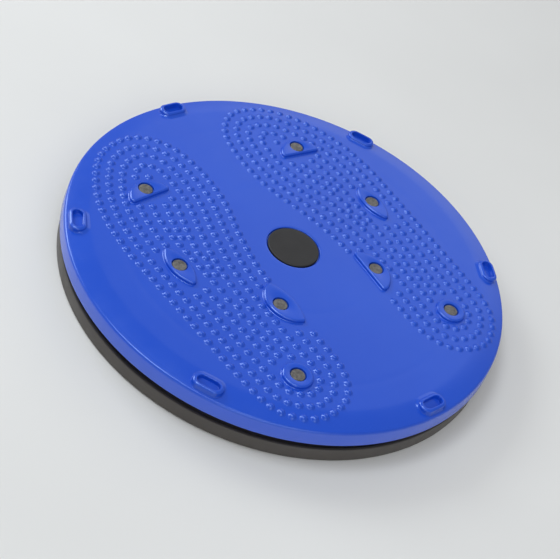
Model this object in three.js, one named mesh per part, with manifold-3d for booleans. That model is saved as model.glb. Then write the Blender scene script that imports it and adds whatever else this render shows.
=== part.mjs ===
// Waist twisting disc, in millimetres. The origin is the centre of the base's underside, on the floor.
// +Z is up, +Y runs towards the toes and +X towards the right foot.
// A blue deck with massage nubs turns on a dark base, round a bolt and on a ring of steel balls.

import * as THREE from "three";
import { ConvexHull } from "three/addons/math/ConvexHull.js";
import { mergeGeometries, mergeVertices } from "three/addons/utils/BufferGeometryUtils.js";
import Module from "manifold-3d";

const wasm = await Module();
wasm.setup();

// Driving dimensions of the whole disc
const deckRadius = 190;
const skirtHeight = 16.6;
const baseWallHeight = 12;
const footProud = 0.8;
const fitGap = 0.3;
const cutOverrun = 1;
const rimSegments = 60;
const hoopSegments = 48;
const trackSegments = 40;
const hubSegments = 24;
const smallSegments = 16;
const footSegments = 12;
const planTieBreak = 1e-6;

// Base disc
const base = {
  radiusInset: 1.8,
  plate: 2.6,
  plateDrop: 2.8,
  wall: 2.6,
  wallDraft: 0.4,
  edgeChamfer: 0.9,
  hubFloor: 8.2,
  nutPocketDepth: 10.4,
  hubWall: 4.6,
  spokeCount: 4,
  ribThickness: 2,
  ribLift: 1.4,
  crossRibShare: 0.7046,
};

// Feet, plugged into bosses under the base
const foot = {
  count: 6,
  radius: 10,
  padThickness: 2.9,
  padTaper: 0.8,
  stemRadius: 3,
  stemLength: 4,
  ringInset: 22,
  bossWall: 2,
  bossCollar: 1.2,
};

// Ball bearing between the two discs
const bearing = {
  pitchRadius: 73,
  ballRadius: 4,
  ballCount: 20,
  raceWidth: 17,
  raceThickness: 2.6,
  grooveDepth: 1.2,
  cageThickness: 3.2,
  cageWidth: 12.6,
  seatRise: 4.8,
  seatWall: 2.4,
  seatLip: 1.7,
  seatLand: 2.5,
};

// Pivot bolt and what is stacked on it
const pivot = {
  boltRadius: 5,
  boreClearance: 0.4,
  headWidth: 16,
  headHeight: 6.4,
  headChamfer: 0.8,
  washerRadius: 11,
  washerThickness: 2,
  thrustRadius: 16,
  thrustThickness: 1.5,
  nutWidth: 17,
  nutHeight: 7.4,
  nutCollar: 2,
  boltEndProud: 0.8,
};

// Centre cap
const cap = {
  radius: 22.5,
  rise: 0.5,
  edgeRound: 0.7,
  plate: 2.2,
  snapWall: 2.2,
  snapLength: 4,
  snapBead: 0.25,
  ledge: 5.2,
  headRoom: 0.6,
};

// Deck
const deck = {
  plate: 2.8,
  seatDepth: 7.9,
  skirtWall: 2.8,
  skirtDraft: 0.8,
  rimRound: 2.4,
  crownDrop: 2.7,
  crownStartShare: 0.89,
  crownMiddleShare: 0.94,
  hubWall: 2.2,
  hubFloor: 3.2,
  ribCount: 6,
  ribThickness: 2,
  ribDepth: 2.5,
  hoopRadiusShare: 0.763,
};

// Massage nubs: rows nested inside a foot-shaped outline, which is given for the right foot
const nub = {
  radius: 3.1,
  rise: 1.9,
  sides: 4,
  rowSpacing: 10.9,
  rowCount: 6,
  edgePitch: 8.75,
  innerPitch: 8.9,
  leastPitch: 7.7,
  startShare: 0.5,
  bossMargin: 0.9,
  outlineStep: 1,
  rowTolerance: 0.35,
  ringMargin: 1.5,
};
const footOutlineShares = [
  [0.337, 0.842], [0.487, 0.795], [0.605, 0.660], [0.683, 0.487], [0.712, 0.290], [0.705, 0.085],
  [0.690, -0.190], [0.674, -0.484], [0.643, -0.668], [0.545, -0.770], [0.435, -0.798], [0.310, -0.752],
  [0.242, -0.626], [0.237, -0.442], [0.238, -0.210], [0.228, -0.015], [0.182, 0.180], [0.130, 0.353],
  [0.117, 0.532], [0.146, 0.702], [0.224, 0.806],
];

// Magnets, and the raised bosses that hold them, each with a bulge on either side of its long axis
const magnet = { radius: 6.1, thickness: 3, sink: 0.8, pocketClearance: 0.6 };
const boss = { rise: 2.8, edgeRound: 1.3, tipRadius: 3, arcPoints: 6, turnPoints: 3 };
const bossSites = [
  { name: "toe", atShares: [0.437, 0.526], shift: [-0.3, -5.5], length: 39.5, bulges: [boss.tipRadius, 14.2],
    turn: -5 },
  { name: "side", atShares: [0.560, 0.092], shift: [0, -0.7], length: 41, bulges: [9.3, 9.3], turn: 90 },
  { name: "arch", atShares: [0.280, -0.254], shift: [-5.7, 0.1], length: 45, bulges: [boss.tipRadius, 16.1],
    turn: -94 },
  { name: "heel", atShares: [0.451, -0.588], shift: [0, 0], length: 25, bulges: [12.5, 12.5], turn: 0 },
];

// Lugs near the rim, with a blind pocket for a band's end
const lug = {
  count: 6,
  rimInset: 10.8,
  length: 26,
  width: 15,
  flare: 1.2,
  rise: 2.7,
  edgeRound: 0.8,
  pocketLength: 18.6,
  pocketWidth: 8.6,
  pocketDepth: 5.4,
  pocketDraft: 0.5,
  endPoints: 4,
};

// Heights that follow from the stack, from the floor up
const baseBottom = footProud;
const baseTop = baseBottom + baseWallHeight;
const plateTop = baseTop - base.plateDrop;
const plateUnder = plateTop - base.plate;
const lowerSeat = plateTop + bearing.seatRise;
const lowerRaceBottom = lowerSeat + fitGap;
const grooveRadius = bearing.ballRadius + fitGap;
const ballHeight = lowerRaceBottom + bearing.raceThickness - bearing.grooveDepth + grooveRadius;
const upperSeat = 2 * ballHeight - lowerSeat;
const deckUnder = upperSeat + deck.seatDepth;
const standingHeight = deckUnder + deck.plate;

// Heights that follow from the cap down the bolt
const capTop = standingHeight + cap.rise;
const capUnder = capTop - cap.plate;
const capLedge = capUnder - fitGap;
const boltHeadTop = capUnder - cap.headRoom;
const boltHeadBottom = boltHeadTop - pivot.headHeight;
const headWasherBottom = boltHeadBottom - fitGap - pivot.washerThickness;
const deckHubFloorTop = headWasherBottom - fitGap;
const deckHubUnder = deckHubFloorTop - deck.hubFloor;
const thrustBottom = deckHubUnder - fitGap - pivot.thrustThickness;
const baseHubTop = thrustBottom - fitGap;
const nutSeat = baseHubTop - base.hubFloor;
const nutWasherBottom = nutSeat - fitGap - pivot.washerThickness;
const nutBottom = nutWasherBottom - fitGap - pivot.nutHeight;
const boltEnd = nutBottom - pivot.boltEndProud;
const boreRadius = pivot.boltRadius + pivot.boreClearance;

// Radii that follow
const baseRadius = deckRadius - base.radiusInset;
const raceInner = bearing.pitchRadius - bearing.raceWidth / 2;
const raceOuter = bearing.pitchRadius + bearing.raceWidth / 2;
const seatInner = raceInner - fitGap;
const seatOuter = raceOuter + fitGap;
const capRecessRadius = cap.radius + fitGap;
const wellRadius = capRecessRadius - cap.ledge;
const deckHubRadius = capRecessRadius + deck.hubWall;
const nutPocketRadius = pivot.washerRadius + 2 * fitGap;
const skirtTopRadius = deckRadius - deck.skirtDraft;
const crownStart = deckRadius * deck.crownStartShare;
const crownMiddle = deckRadius * deck.crownMiddleShare;
const crownEnd = skirtTopRadius - deck.rimRound;
const crownEndHeight = standingHeight - deck.crownDrop;
const skirtBottom = standingHeight - skirtHeight;
const lugRadius = deckRadius - lug.rimInset;
const lugTop = standingHeight + lug.rise;
const footRadius = baseRadius - foot.ringInset;
const deckHoopRadius = deckRadius * deck.hoopRadiusShare;
const baseHubRadius = nutPocketRadius + base.hubWall;
const crossRibOffset = baseRadius * base.crossRibShare;

const finishes = {
  bluePlastic: { color: 0x2e58cf, roughness: 0.32, metalness: 0 },
  darkPlastic: { color: 0x4a4744, roughness: 0.62, metalness: 0 },
  capPlastic: { color: 0x423f3c, roughness: 0.55, metalness: 0 },
  ferrite: { color: 0x8f8470, roughness: 0.45, metalness: 0.6 },
  rubber: { color: 0x1c1c1e, roughness: 0.9, metalness: 0 },
  steel: { color: 0xb4b7ba, roughness: 0.3, metalness: 1 },
  nylon: { color: 0xe6e2d6, roughness: 0.5, metalness: 0 },
};

// Shape tools

/** A manifold solid from one closed geometry, or from several that don't touch. */
function solidOf(geometry) {
  const bare = new THREE.BufferGeometry();
  bare.setAttribute("position", geometry.getAttribute("position").clone());
  if (geometry.index) bare.setIndex(geometry.index.clone());
  const merged = mergeVertices(bare);
  const source = merged.index.array;
  const triangles = [];
  for (let i = 0; i < source.length; i += 3) {
    const [a, b, c] = [source[i], source[i + 1], source[i + 2]];
    if (a !== b && b !== c && c !== a) triangles.push(a, b, c);
  }
  const vertProperties = new Float32Array(merged.getAttribute("position").array);
  const mesh = new wasm.Mesh({ numProp: 3, vertProperties, triVerts: new Uint32Array(triangles) });
  return new wasm.Manifold(mesh);
}

/** The geometry of a manifold solid. */
function geometryOf(solid) {
  const mesh = solid.getMesh();
  const geometry = new THREE.BufferGeometry();
  geometry.setAttribute("position", new THREE.BufferAttribute(new Float32Array(mesh.vertProperties), 3));
  geometry.setIndex(new THREE.BufferAttribute(new Uint32Array(mesh.triVerts), 1));
  geometry.computeVertexNormals();
  return geometry;
}

/** Joins solids one after another. */
function joined(solids) {
  return solids.reduce((whole, next) => whole.add(next));
}

/**
 * The skin swept by a profile turned about Z. Each profile point is [radius, height, segments], the points
 * run with the solid on their left, and neighbouring rings may differ in their number of segments.
 */
function turned(profile, closed) {
  const positions = [];
  const index = [];
  const starts = profile.map(([radius, height, segments]) => {
    const start = positions.length / 3;
    for (const p of polygon(radius, segments)) positions.push(p.x, p.y, height);
    return start;
  });
  const last = closed ? profile.length : profile.length - 1;
  for (let k = 0; k < last; k += 1) {
    const next = (k + 1) % profile.length;
    const [a, b] = [profile[k][2], profile[next][2]];
    let [i, j] = [0, 0];
    while (i < a || j < b) {
      const [from, to] = [starts[k] + (i % a), starts[next] + (j % b)];
      if (j >= b || (i < a && (i + 1) * b <= (j + 1) * a)) {
        if (a > 1) index.push(from, starts[k] + ((i + 1) % a), to);
        i += 1;
      } else {
        if (b > 1) index.push(from, starts[next] + ((j + 1) % b), to);
        j += 1;
      }
    }
  }
  const geometry = new THREE.BufferGeometry();
  geometry.setAttribute("position", new THREE.Float32BufferAttribute(positions, 3));
  geometry.setIndex(index);
  return geometry;
}

/** A closed ring or disc from an outline of [radius, height] pairs, all with one number of segments. */
function revolve(outline, segments) {
  const area = THREE.ShapeUtils.area(outline.map(([r, z]) => new THREE.Vector2(r, z)));
  const ordered = area < 0 ? [...outline].reverse() : outline;
  return turned(ordered.map(([r, z]) => [r, z, r === 0 ? 1 : segments]), true);
}

/**
 * Triangles between points in plan, by Delaunay's rule: the lower half of the convex hull of the points raised
 * onto a paraboloid. The small wobble settles ties between points on one circle.
 */
function planTriangles(points) {
  const raised = points.map((p, i) => {
    const height = (p.x * p.x + p.y * p.y) / deckRadius + planTieBreak * Math.sin(i * i);
    return new THREE.Vector3(p.x, p.y, height);
  });
  const places = new Map(raised.map((p, i) => [p, i]));
  const hull = new ConvexHull().setFromPoints(raised);
  return hull.faces
    .filter((face) => face.normal.z < 0)
    .map((face) => [2, 1, 0].map((corner) => places.get(face.getEdge(corner).head().point)));
}

/** A closed body through level rings of equal point counts; a ring of one point is an apex. */
function loft(rings) {
  const positions = rings.flat().flatMap((p) => [p.x, p.y, p.z]);
  const index = [];
  const starts = [];
  rings.reduce((start, ring) => {
    starts.push(start);
    return start + ring.length;
  }, 0);
  for (let k = 0; k + 1 < rings.length; k += 1) {
    const [low, high] = [starts[k], starts[k + 1]];
    const n = rings[k].length;
    for (let i = 0; i < n; i += 1) {
      const j = (i + 1) % n;
      if (rings[k + 1].length === 1) {
        index.push(low + i, low + j, high);
      } else {
        index.push(low + i, low + j, high + j, low + i, high + j, high + i);
      }
    }
  }
  const top = rings[rings.length - 1];
  const topStart = starts[rings.length - 1];
  for (let i = 1; i + 1 < rings[0].length; i += 1) index.push(0, i + 1, i);
  for (let i = 1; i + 1 < top.length; i += 1) index.push(topStart, topStart + i, topStart + i + 1);
  const geometry = new THREE.BufferGeometry();
  geometry.setAttribute("position", new THREE.Float32BufferAttribute(positions, 3));
  geometry.setIndex(index);
  return geometry;
}

/** An outline of Vector2 points as a ring of Vector3 points at one height. */
function ringAt(outline, height) {
  return outline.map((p) => new THREE.Vector3(p.x, p.y, height));
}

/** A convex outline moved inwards by a distance, or outwards by a negative one. */
function inset(outline, distance) {
  const n = outline.length;
  return outline.map((p, i) => {
    const before = outline[(i + n - 1) % n];
    const after = outline[(i + 1) % n];
    const a = p.clone().sub(before).normalize();
    const b = after.clone().sub(p).normalize();
    const inward = new THREE.Vector2(-a.y - b.y, a.x + b.x);
    return p.clone().addScaledVector(inward, distance / (1 + a.dot(b)));
  });
}

/** A regular outline, counter-clockwise, with its first corner on +X. */
function polygon(radius, sides, turn = 0) {
  return Array.from({ length: sides }, (_, i) => {
    const angle = turn + (2 * Math.PI * i) / sides;
    return new THREE.Vector2(radius * Math.cos(angle), radius * Math.sin(angle));
  });
}

/** An upright cylinder or prism between two heights. */
function pillar(radius, bottom, top, sides) {
  const outline = polygon(radius, sides);
  return loft([ringAt(outline, bottom), ringAt(outline, top)]);
}

/** A slab of even thickness about the XZ plane, from a profile of [radius, height] pairs. */
function rib(profile, thickness) {
  const shape = new THREE.Shape(profile.map(([r, z]) => new THREE.Vector2(r, z)));
  const geometry = new THREE.ExtrudeGeometry(shape, { depth: thickness, bevelEnabled: false });
  geometry.translate(0, 0, -thickness / 2);
  geometry.rotateX(Math.PI / 2);
  return geometry;
}

/** Copies of a geometry turned evenly about Z, as a list. */
function around(makeGeometry, count, firstAngle = 0) {
  return Array.from({ length: count }, (_, i) => {
    const geometry = makeGeometry();
    geometry.rotateZ(firstAngle + (2 * Math.PI * i) / count);
    return geometry;
  });
}

/** Points of a quarter round between two directions, as [radius, height] pairs. */
function fillet(centreR, centreZ, radius, from, to, steps) {
  return Array.from({ length: steps + 1 }, (_, i) => {
    const angle = from + ((to - from) * i) / steps;
    return [centreR + radius * Math.cos(angle), centreZ + radius * Math.sin(angle)];
  });
}

/** The height of the deck's upper face at a distance from the centre. */
function deckHeightAt(radius) {
  const middleDrop = deck.crownDrop * ((crownMiddle - crownStart) / (crownEnd - crownStart)) ** 1.5;
  const profile = [
    [0, standingHeight],
    [crownStart, standingHeight],
    [crownMiddle, standingHeight - middleDrop],
    [crownEnd, crownEndHeight],
  ];
  for (let i = 1; i < profile.length; i += 1) {
    const [r0, z0] = profile[i - 1];
    const [r1, z1] = profile[i];
    if (radius <= r1) return z0 + ((z1 - z0) * (radius - r0)) / (r1 - r0);
  }
  return crownEndHeight;
}

/** A lens-shaped outline with rounded tips, whose two sides bulge by their own amounts. */
function bossOutline(site) {
  const tip = boss.tipRadius;
  const reach = site.length / 2 - tip;
  const side = (bulge) => {
    const points = [];
    if (bulge <= tip) {
      points.push(new THREE.Vector2(reach, tip), new THREE.Vector2(-reach, tip));
      return points;
    }
    const radius = (reach * reach + bulge * bulge - tip * tip) / (2 * (bulge - tip));
    const centre = bulge - radius;
    const start = Math.atan2(-centre, reach);
    for (let i = 0; i <= boss.arcPoints; i += 1) {
      const angle = start + ((Math.PI - 2 * start) * i) / boss.arcPoints;
      points.push(new THREE.Vector2(radius * Math.cos(angle), centre + radius * Math.sin(angle)));
    }
    return points;
  };
  const round = site.length / 2 <= Math.max(...site.bulges);
  if (round) return polygon(site.length / 2, 2 * boss.arcPoints + 2 * boss.turnPoints);
  const upper = side(site.bulges[1]);
  const lower = side(site.bulges[0]).map((p) => new THREE.Vector2(-p.x, -p.y));
  const nose = (x, from, to) => {
    const count = boss.turnPoints;
    return Array.from({ length: count }, (_, i) => {
      const angle = from + ((to - from) * (i + 1)) / (count + 1);
      return new THREE.Vector2(x + tip * Math.cos(angle), tip * Math.sin(angle));
    });
  };
  const angleAt = (p, x) => Math.atan2(p.y, p.x - x);
  const leftFrom = angleAt(upper[upper.length - 1], -reach);
  const leftTo = angleAt(lower[0], -reach) + 2 * Math.PI;
  const rightFrom = angleAt(lower[lower.length - 1], reach);
  const rightTo = angleAt(upper[0], reach);
  return [...upper, ...nose(-reach, leftFrom, leftTo), ...lower, ...nose(reach, rightFrom, rightTo)];
}

/** Where a boss's magnet and its outline's middle lie, for the right foot. */
function bossPlace(site) {
  const magnetAt = new THREE.Vector2(site.atShares[0] * deckRadius, site.atShares[1] * deckRadius);
  const middle = magnetAt.clone().add(new THREE.Vector2(...site.shift));
  return { magnetAt, middle };
}

/** A boss's outline in the deck's frame, for the right foot. */
function placedOutline(site) {
  const { middle } = bossPlace(site);
  const turn = THREE.MathUtils.degToRad(site.turn);
  return bossOutline(site).map((p) => p.clone().rotateAround(new THREE.Vector2(), turn).add(middle));
}

/** The distance from a point to a closed outline's edge, negative inside. */
function edgeDistance(point, outline) {
  const n = outline.length;
  let nearest = Infinity;
  let inside = false;
  for (let i = 0; i < n; i += 1) {
    const a = outline[i];
    const b = outline[(i + 1) % n];
    const along = b.clone().sub(a);
    const share = THREE.MathUtils.clamp(point.clone().sub(a).dot(along) / along.lengthSq(), 0, 1);
    nearest = Math.min(nearest, point.distanceTo(a.clone().addScaledVector(along, share)));
    const crosses = a.y > point.y !== b.y > point.y;
    if (crosses && point.x < ((b.x - a.x) * (point.y - a.y)) / (b.y - a.y) + a.x) inside = !inside;
  }
  return inside ? -nearest : nearest;
}

/** Places at an even pitch along a closed row of points. */
function evenly(row, pitch) {
  const closed = [...row, row[0]];
  const reach = [0];
  for (let i = 1; i < closed.length; i += 1) reach.push(reach[i - 1] + closed[i].distanceTo(closed[i - 1]));
  const total = reach[reach.length - 1];
  const count = Math.max(1, Math.round(total / pitch));
  const places = [];
  let i = 1;
  for (let k = 0; k < count; k += 1) {
    const target = (total * (k + nub.startShare)) / count;
    while (reach[i] < target) i += 1;
    const share = (target - reach[i - 1]) / (reach[i] - reach[i - 1]);
    places.push(closed[i - 1].clone().lerp(closed[i], share));
  }
  return places;
}

/** The centres of the right foot's nubs: rows at an even spacing inside the outline, clear of the bosses. */
function nubCentres() {
  const corners = footOutlineShares.map(([x, y]) => new THREE.Vector3(x * deckRadius, y * deckRadius, 0));
  const curve = new THREE.CatmullRomCurve3(corners, true, "catmullrom", 0.5);
  const count = Math.round(curve.getLength() / nub.outlineStep);
  const outline = curve.getSpacedPoints(count).slice(0, count).map((p) => new THREE.Vector2(p.x, p.y));
  const inward = outline.map((p, i) => {
    const along = outline[(i + 1) % count].clone().sub(outline[(i + count - 1) % count]).normalize();
    return new THREE.Vector2(along.y, -along.x);
  });
  const outlines = bossSites.map(placedOutline);
  const centres = [];
  for (let row = 0; row < nub.rowCount; row += 1) {
    const depth = row * nub.rowSpacing;
    const moved = outline.map((p, i) => p.clone().addScaledVector(inward[i], depth));
    const kept = moved.filter((q) => outline.every((p) => q.distanceTo(p) > depth - nub.rowTolerance));
    if (kept.length < 2) break;
    for (const q of evenly(kept, row === 0 ? nub.edgePitch : nub.innerPitch)) {
      const free = outlines.every((o) => edgeDistance(q, o) > nub.radius + nub.bossMargin);
      if (free && centres.every((p) => q.distanceTo(p) > nub.leastPitch)) centres.push(q);
    }
  }
  return centres;
}

/** A point seen in the mirror between the two feet. */
function mirrored(point) {
  return new THREE.Vector2(-point.x, point.y);
}

// Deck

/** The deck's upper skin, with every nub in it as a low dome of few faces. */
function deckTop() {
  const rightNubs = nubCentres();
  const centres = [...rightNubs, ...rightNubs.map(mirrored)];
  const onSurface = (p) => new THREE.Vector3(p.x, p.y, deckHeightAt(p.length()));
  const clear = (p) => centres.every((c) => p.distanceTo(c) > nub.radius + nub.ringMargin);
  const recessRim = polygon(capRecessRadius, hubSegments).map(onSurface);
  const rings = [
    ...polygon(crownStart, rimSegments).filter(clear),
    ...polygon(crownMiddle, rimSegments, Math.PI / rimSegments).filter(clear),
    ...polygon(crownEnd, rimSegments),
  ].map(onSurface);
  const nubs = centres.flatMap((c) => {
    const apex = onSurface(c);
    apex.z += nub.rise;
    return [apex, ...polygon(nub.radius, nub.sides).map((p) => onSurface(p.add(c)))];
  });
  const points = [...recessRim, ...rings, ...nubs];
  const triangles = planTriangles(points).filter((corners) => corners.some((i) => i >= recessRim.length));
  const geometry = new THREE.BufferGeometry();
  geometry.setFromPoints(points);
  geometry.setIndex(triangles.flat());
  return geometry;
}

/** The rest of the deck's skin: cap recess, well, hub, bearing seat, hoop, and the skirt up to its rounded rim. */
function deckUnderside() {
  const rimCentre = crownEndHeight - deck.rimRound;
  const skirtInnerTop = skirtTopRadius - deck.skirtWall;
  const ribBottom = deckUnder - deck.ribDepth;
  const lipBottom = upperSeat - bearing.seatLip;
  const rimArc = fillet(crownEnd, rimCentre, deck.rimRound, 0, Math.PI / 2, 2);
  return turned([
    [capRecessRadius, standingHeight, hubSegments],
    [capRecessRadius, capLedge, hubSegments],
    [wellRadius, capLedge, hubSegments],
    [wellRadius, deckHubFloorTop, hubSegments],
    [boreRadius, deckHubFloorTop, smallSegments],
    [boreRadius, deckHubUnder, smallSegments],
    [deckHubRadius, deckHubUnder, hubSegments],
    [deckHubRadius, deckUnder, hubSegments],
    [seatInner - bearing.seatWall, deckUnder, trackSegments],
    [seatInner - bearing.seatWall, lipBottom, trackSegments],
    [seatInner, lipBottom, trackSegments],
    [seatInner, upperSeat, trackSegments],
    [seatInner + bearing.seatLand, upperSeat, trackSegments],
    [seatInner + bearing.seatLand, deckUnder, trackSegments],
    [seatOuter - bearing.seatLand, deckUnder, trackSegments],
    [seatOuter - bearing.seatLand, upperSeat, trackSegments],
    [seatOuter, upperSeat, trackSegments],
    [seatOuter, lipBottom, trackSegments],
    [seatOuter + bearing.seatWall, lipBottom, trackSegments],
    [seatOuter + bearing.seatWall, deckUnder, trackSegments],
    [deckHoopRadius, deckUnder, hoopSegments],
    [deckHoopRadius, ribBottom, hoopSegments],
    [deckHoopRadius + deck.ribThickness, ribBottom, hoopSegments],
    [deckHoopRadius + deck.ribThickness, deckUnder, hoopSegments],
    [crownStart, deckUnder, rimSegments],
    [skirtInnerTop, rimCentre, rimSegments],
    [deckRadius - deck.skirtWall, skirtBottom, rimSegments],
    [deckRadius, skirtBottom, rimSegments],
    ...rimArc.map(([r, z]) => [r, z, rimSegments]),
  ], false);
}

/** One radial rib under the deck, from the hub's wall into the skirt. */
function deckRib() {
  const bottom = deckUnder - deck.ribDepth;
  const top = deckUnder + deck.plate / 2;
  const start = deckHubRadius - deck.hubWall / 2;
  const end = skirtTopRadius - deck.skirtWall / 2;
  const endTop = crownEndHeight - deck.rimRound;
  return rib([[start, bottom], [end, bottom], [end, endTop], [crownStart, top], [start, top]], deck.ribThickness);
}

/** One raised boss with a rounded upper edge, rooted in the plate. */
function bossBody(outline) {
  const top = standingHeight + boss.rise;
  const shoulder = top - boss.edgeRound;
  return loft([
    ringAt(outline, standingHeight - deck.plate / 3),
    ringAt(inset(outline, boss.edgeRound / 3), shoulder),
    ringAt(inset(outline, boss.edgeRound), top),
  ]);
}

/** A stadium outline with its long axis along Y. */
function stadium(length, width) {
  const half = width / 2;
  const reach = length / 2 - half;
  const end = (y, from) => Array.from({ length: lug.endPoints + 1 }, (_, i) => {
    const angle = from + (Math.PI * i) / lug.endPoints;
    return new THREE.Vector2(half * Math.cos(angle), y + half * Math.sin(angle));
  });
  return [...end(reach, 0), ...end(-reach, Math.PI)];
}

/** The wall of one lug, before its pocket is cut, on +X with its long side along the rim. */
function lugBody() {
  const rootHeight = deckHeightAt(lugRadius - lug.width / 2) - deck.plate / 2;
  const shoulder = lugTop - lug.edgeRound;
  const outline = stadium(lug.length - 2 * lug.flare, lug.width - 2 * lug.flare);
  const geometry = loft([
    ringAt(inset(outline, -lug.flare), Math.min(rootHeight, crownEndHeight - lug.edgeRound)),
    ringAt(inset(outline, -lug.flare / 4), deckHeightAt(lugRadius)),
    ringAt(outline, shoulder),
    ringAt(inset(outline, lug.edgeRound), lugTop),
  ]);
  geometry.translate(lugRadius, 0, 0);
  return geometry;
}

/** The blind pocket of one lug, drafted so that it narrows downwards. */
function lugPocket() {
  const outline = stadium(lug.pocketLength, lug.pocketWidth);
  const draftSlope = lug.pocketDraft / lug.pocketDepth;
  const geometry = loft([
    ringAt(inset(outline, lug.pocketDraft), lugTop - lug.pocketDepth),
    ringAt(inset(outline, -draftSlope * cutOverrun), lugTop + cutOverrun),
  ]);
  geometry.translate(lugRadius, 0, 0);
  return geometry;
}

/** The pocket of one magnet in its boss. */
function magnetPocket({ at }) {
  const top = standingHeight + boss.rise;
  const floor = top - magnet.sink - magnet.thickness - fitGap;
  const geometry = pillar(magnet.radius + magnet.pocketClearance, floor, top + cutOverrun, smallSegments);
  geometry.translate(at.x, at.y, 0);
  return geometry;
}

/** The whole deck as one moulding. */
function deckGeometry() {
  const skins = [deckTop(), deckUnderside()].map((skin) => {
    skin.deleteAttribute("normal");
    return skin;
  });
  const rightBosses = bossSites.map(placedOutline);
  const leftBosses = rightBosses.map((outline) => outline.map(mirrored).reverse());
  const additions = [
    ...around(deckRib, deck.ribCount),
    ...[...rightBosses, ...leftBosses].map(bossBody),
    ...around(lugBody, lug.count, Math.PI / 2),
  ];
  const cuts = [...magnetPlaces().map(magnetPocket), ...around(lugPocket, lug.count, Math.PI / 2)];
  const body = joined([solidOf(mergeGeometries(skins)), ...additions.map(solidOf)]);
  return geometryOf(body.subtract(joined(cuts.map(solidOf))));
}

/** The names and places of the eight magnets. */
function magnetPlaces() {
  return bossSites.flatMap((site) => {
    const { magnetAt } = bossPlace(site);
    return [
      { name: `magnet_right_${site.name}`, at: magnetAt },
      { name: `magnet_left_${site.name}`, at: mirrored(magnetAt) },
    ];
  });
}

/** One magnet: a disc with a broken edge, sunk a little below its boss's top. */
function magnetGeometry() {
  const outline = polygon(magnet.radius, smallSegments);
  const top = standingHeight + boss.rise - magnet.sink;
  const edge = magnet.sink / 2;
  return loft([
    ringAt(outline, top - magnet.thickness),
    ringAt(outline, top - edge),
    ringAt(inset(outline, edge), top),
  ]);
}

/** The centre cap: a crowned disc with a snap ring below it. */
function capGeometry() {
  const snapOuter = wellRadius - fitGap;
  const snapInner = snapOuter - cap.snapWall;
  const snapBottom = capUnder - cap.snapLength;
  const beadMiddle = snapBottom + cap.snapWall / 2;
  return revolve([
    [0, capUnder],
    [snapInner, capUnder],
    [snapInner, snapBottom],
    [snapOuter - cap.snapBead, snapBottom],
    [snapOuter, beadMiddle],
    [snapOuter - cap.snapBead, beadMiddle + cap.snapWall / 2],
    [snapOuter - cap.snapBead, capUnder],
    [cap.radius, capUnder],
    [cap.radius, capTop - cap.edgeRound],
    [cap.radius - cap.edgeRound, capTop],
    [0, capTop],
  ], hubSegments);
}

// Base

/** The base's shell: hub, plate, outer wall that stands above it, and two ring walls that carry the lower race. */
function baseShell() {
  const footRim = baseRadius + base.wallDraft;
  const hubBottom = nutSeat - base.nutPocketDepth;
  const lipTop = lowerSeat + bearing.seatLip;
  return turned([
    [boreRadius, baseHubTop, smallSegments],
    [boreRadius, nutSeat, smallSegments],
    [nutPocketRadius, nutSeat, hubSegments],
    [nutPocketRadius, hubBottom, hubSegments],
    [baseHubRadius, hubBottom, hubSegments],
    [baseHubRadius, plateUnder, hubSegments],
    [baseRadius - base.wall, plateUnder, rimSegments],
    [footRim - base.wall, baseBottom, rimSegments],
    [footRim, baseBottom, rimSegments],
    [baseRadius, baseTop - base.edgeChamfer, rimSegments],
    [baseRadius - base.edgeChamfer, baseTop, rimSegments],
    [baseRadius - base.wall, baseTop, rimSegments],
    [baseRadius - base.wall, plateTop, rimSegments],
    [seatOuter + 2 * bearing.seatWall, plateTop, trackSegments],
    [seatOuter + bearing.seatWall, lipTop, trackSegments],
    [seatOuter, lipTop, trackSegments],
    [seatOuter, lowerSeat, trackSegments],
    [seatOuter - bearing.seatLand, lowerSeat, trackSegments],
    [seatOuter - bearing.seatLand, plateTop, trackSegments],
    [seatInner + bearing.seatLand, plateTop, trackSegments],
    [seatInner + bearing.seatLand, lowerSeat, trackSegments],
    [seatInner, lowerSeat, trackSegments],
    [seatInner, lipTop, trackSegments],
    [seatInner - bearing.seatWall, lipTop, trackSegments],
    [seatInner - 2 * bearing.seatWall, plateTop, trackSegments],
    [baseHubRadius, plateTop, hubSegments],
    [baseHubRadius, baseHubTop, hubSegments],
  ], true);
}

/** A straight rib under the base's plate, along X from one place to another. */
function baseRib(from, to) {
  const bottom = baseBottom + base.ribLift;
  const top = plateTop - base.plate / 2;
  return rib([[from, bottom], [to, bottom], [to, top], [from, top]], base.ribThickness);
}

/** One spoke under the base, from the hub's wall to the outer wall. */
function baseSpoke() {
  return baseRib((nutPocketRadius + baseHubRadius) / 2, baseRadius - base.wall / 2);
}

/** One rib across the spokes, from the outer wall past the foot bosses to the outer wall. */
function crossRib() {
  const reach = Math.sqrt((baseRadius - base.wall / 2) ** 2 - crossRibOffset ** 2);
  const geometry = baseRib(-reach, reach);
  geometry.translate(0, crossRibOffset, 0);
  return geometry;
}

/** The boss that one foot plugs into, on +X, before its seat is cut. */
function footBoss() {
  const geometry = pillar(foot.radius + fitGap + foot.bossWall, baseBottom + foot.bossCollar,
    plateTop - base.plate / 2, footSegments);
  geometry.translate(footRadius, 0, 0);
  return geometry;
}

/** The stepped seat of one foot, cut from below. */
function footSeat() {
  const radius = foot.radius + fitGap;
  const stem = foot.stemRadius + fitGap;
  const geometry = revolve([
    [0, baseBottom - cutOverrun],
    [radius, baseBottom - cutOverrun],
    [radius, foot.padThickness + fitGap],
    [stem, foot.padThickness + fitGap],
    [stem, foot.padThickness + foot.stemLength + fitGap],
    [0, foot.padThickness + foot.stemLength + fitGap],
  ], footSegments);
  geometry.translate(footRadius, 0, 0);
  return geometry;
}

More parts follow.
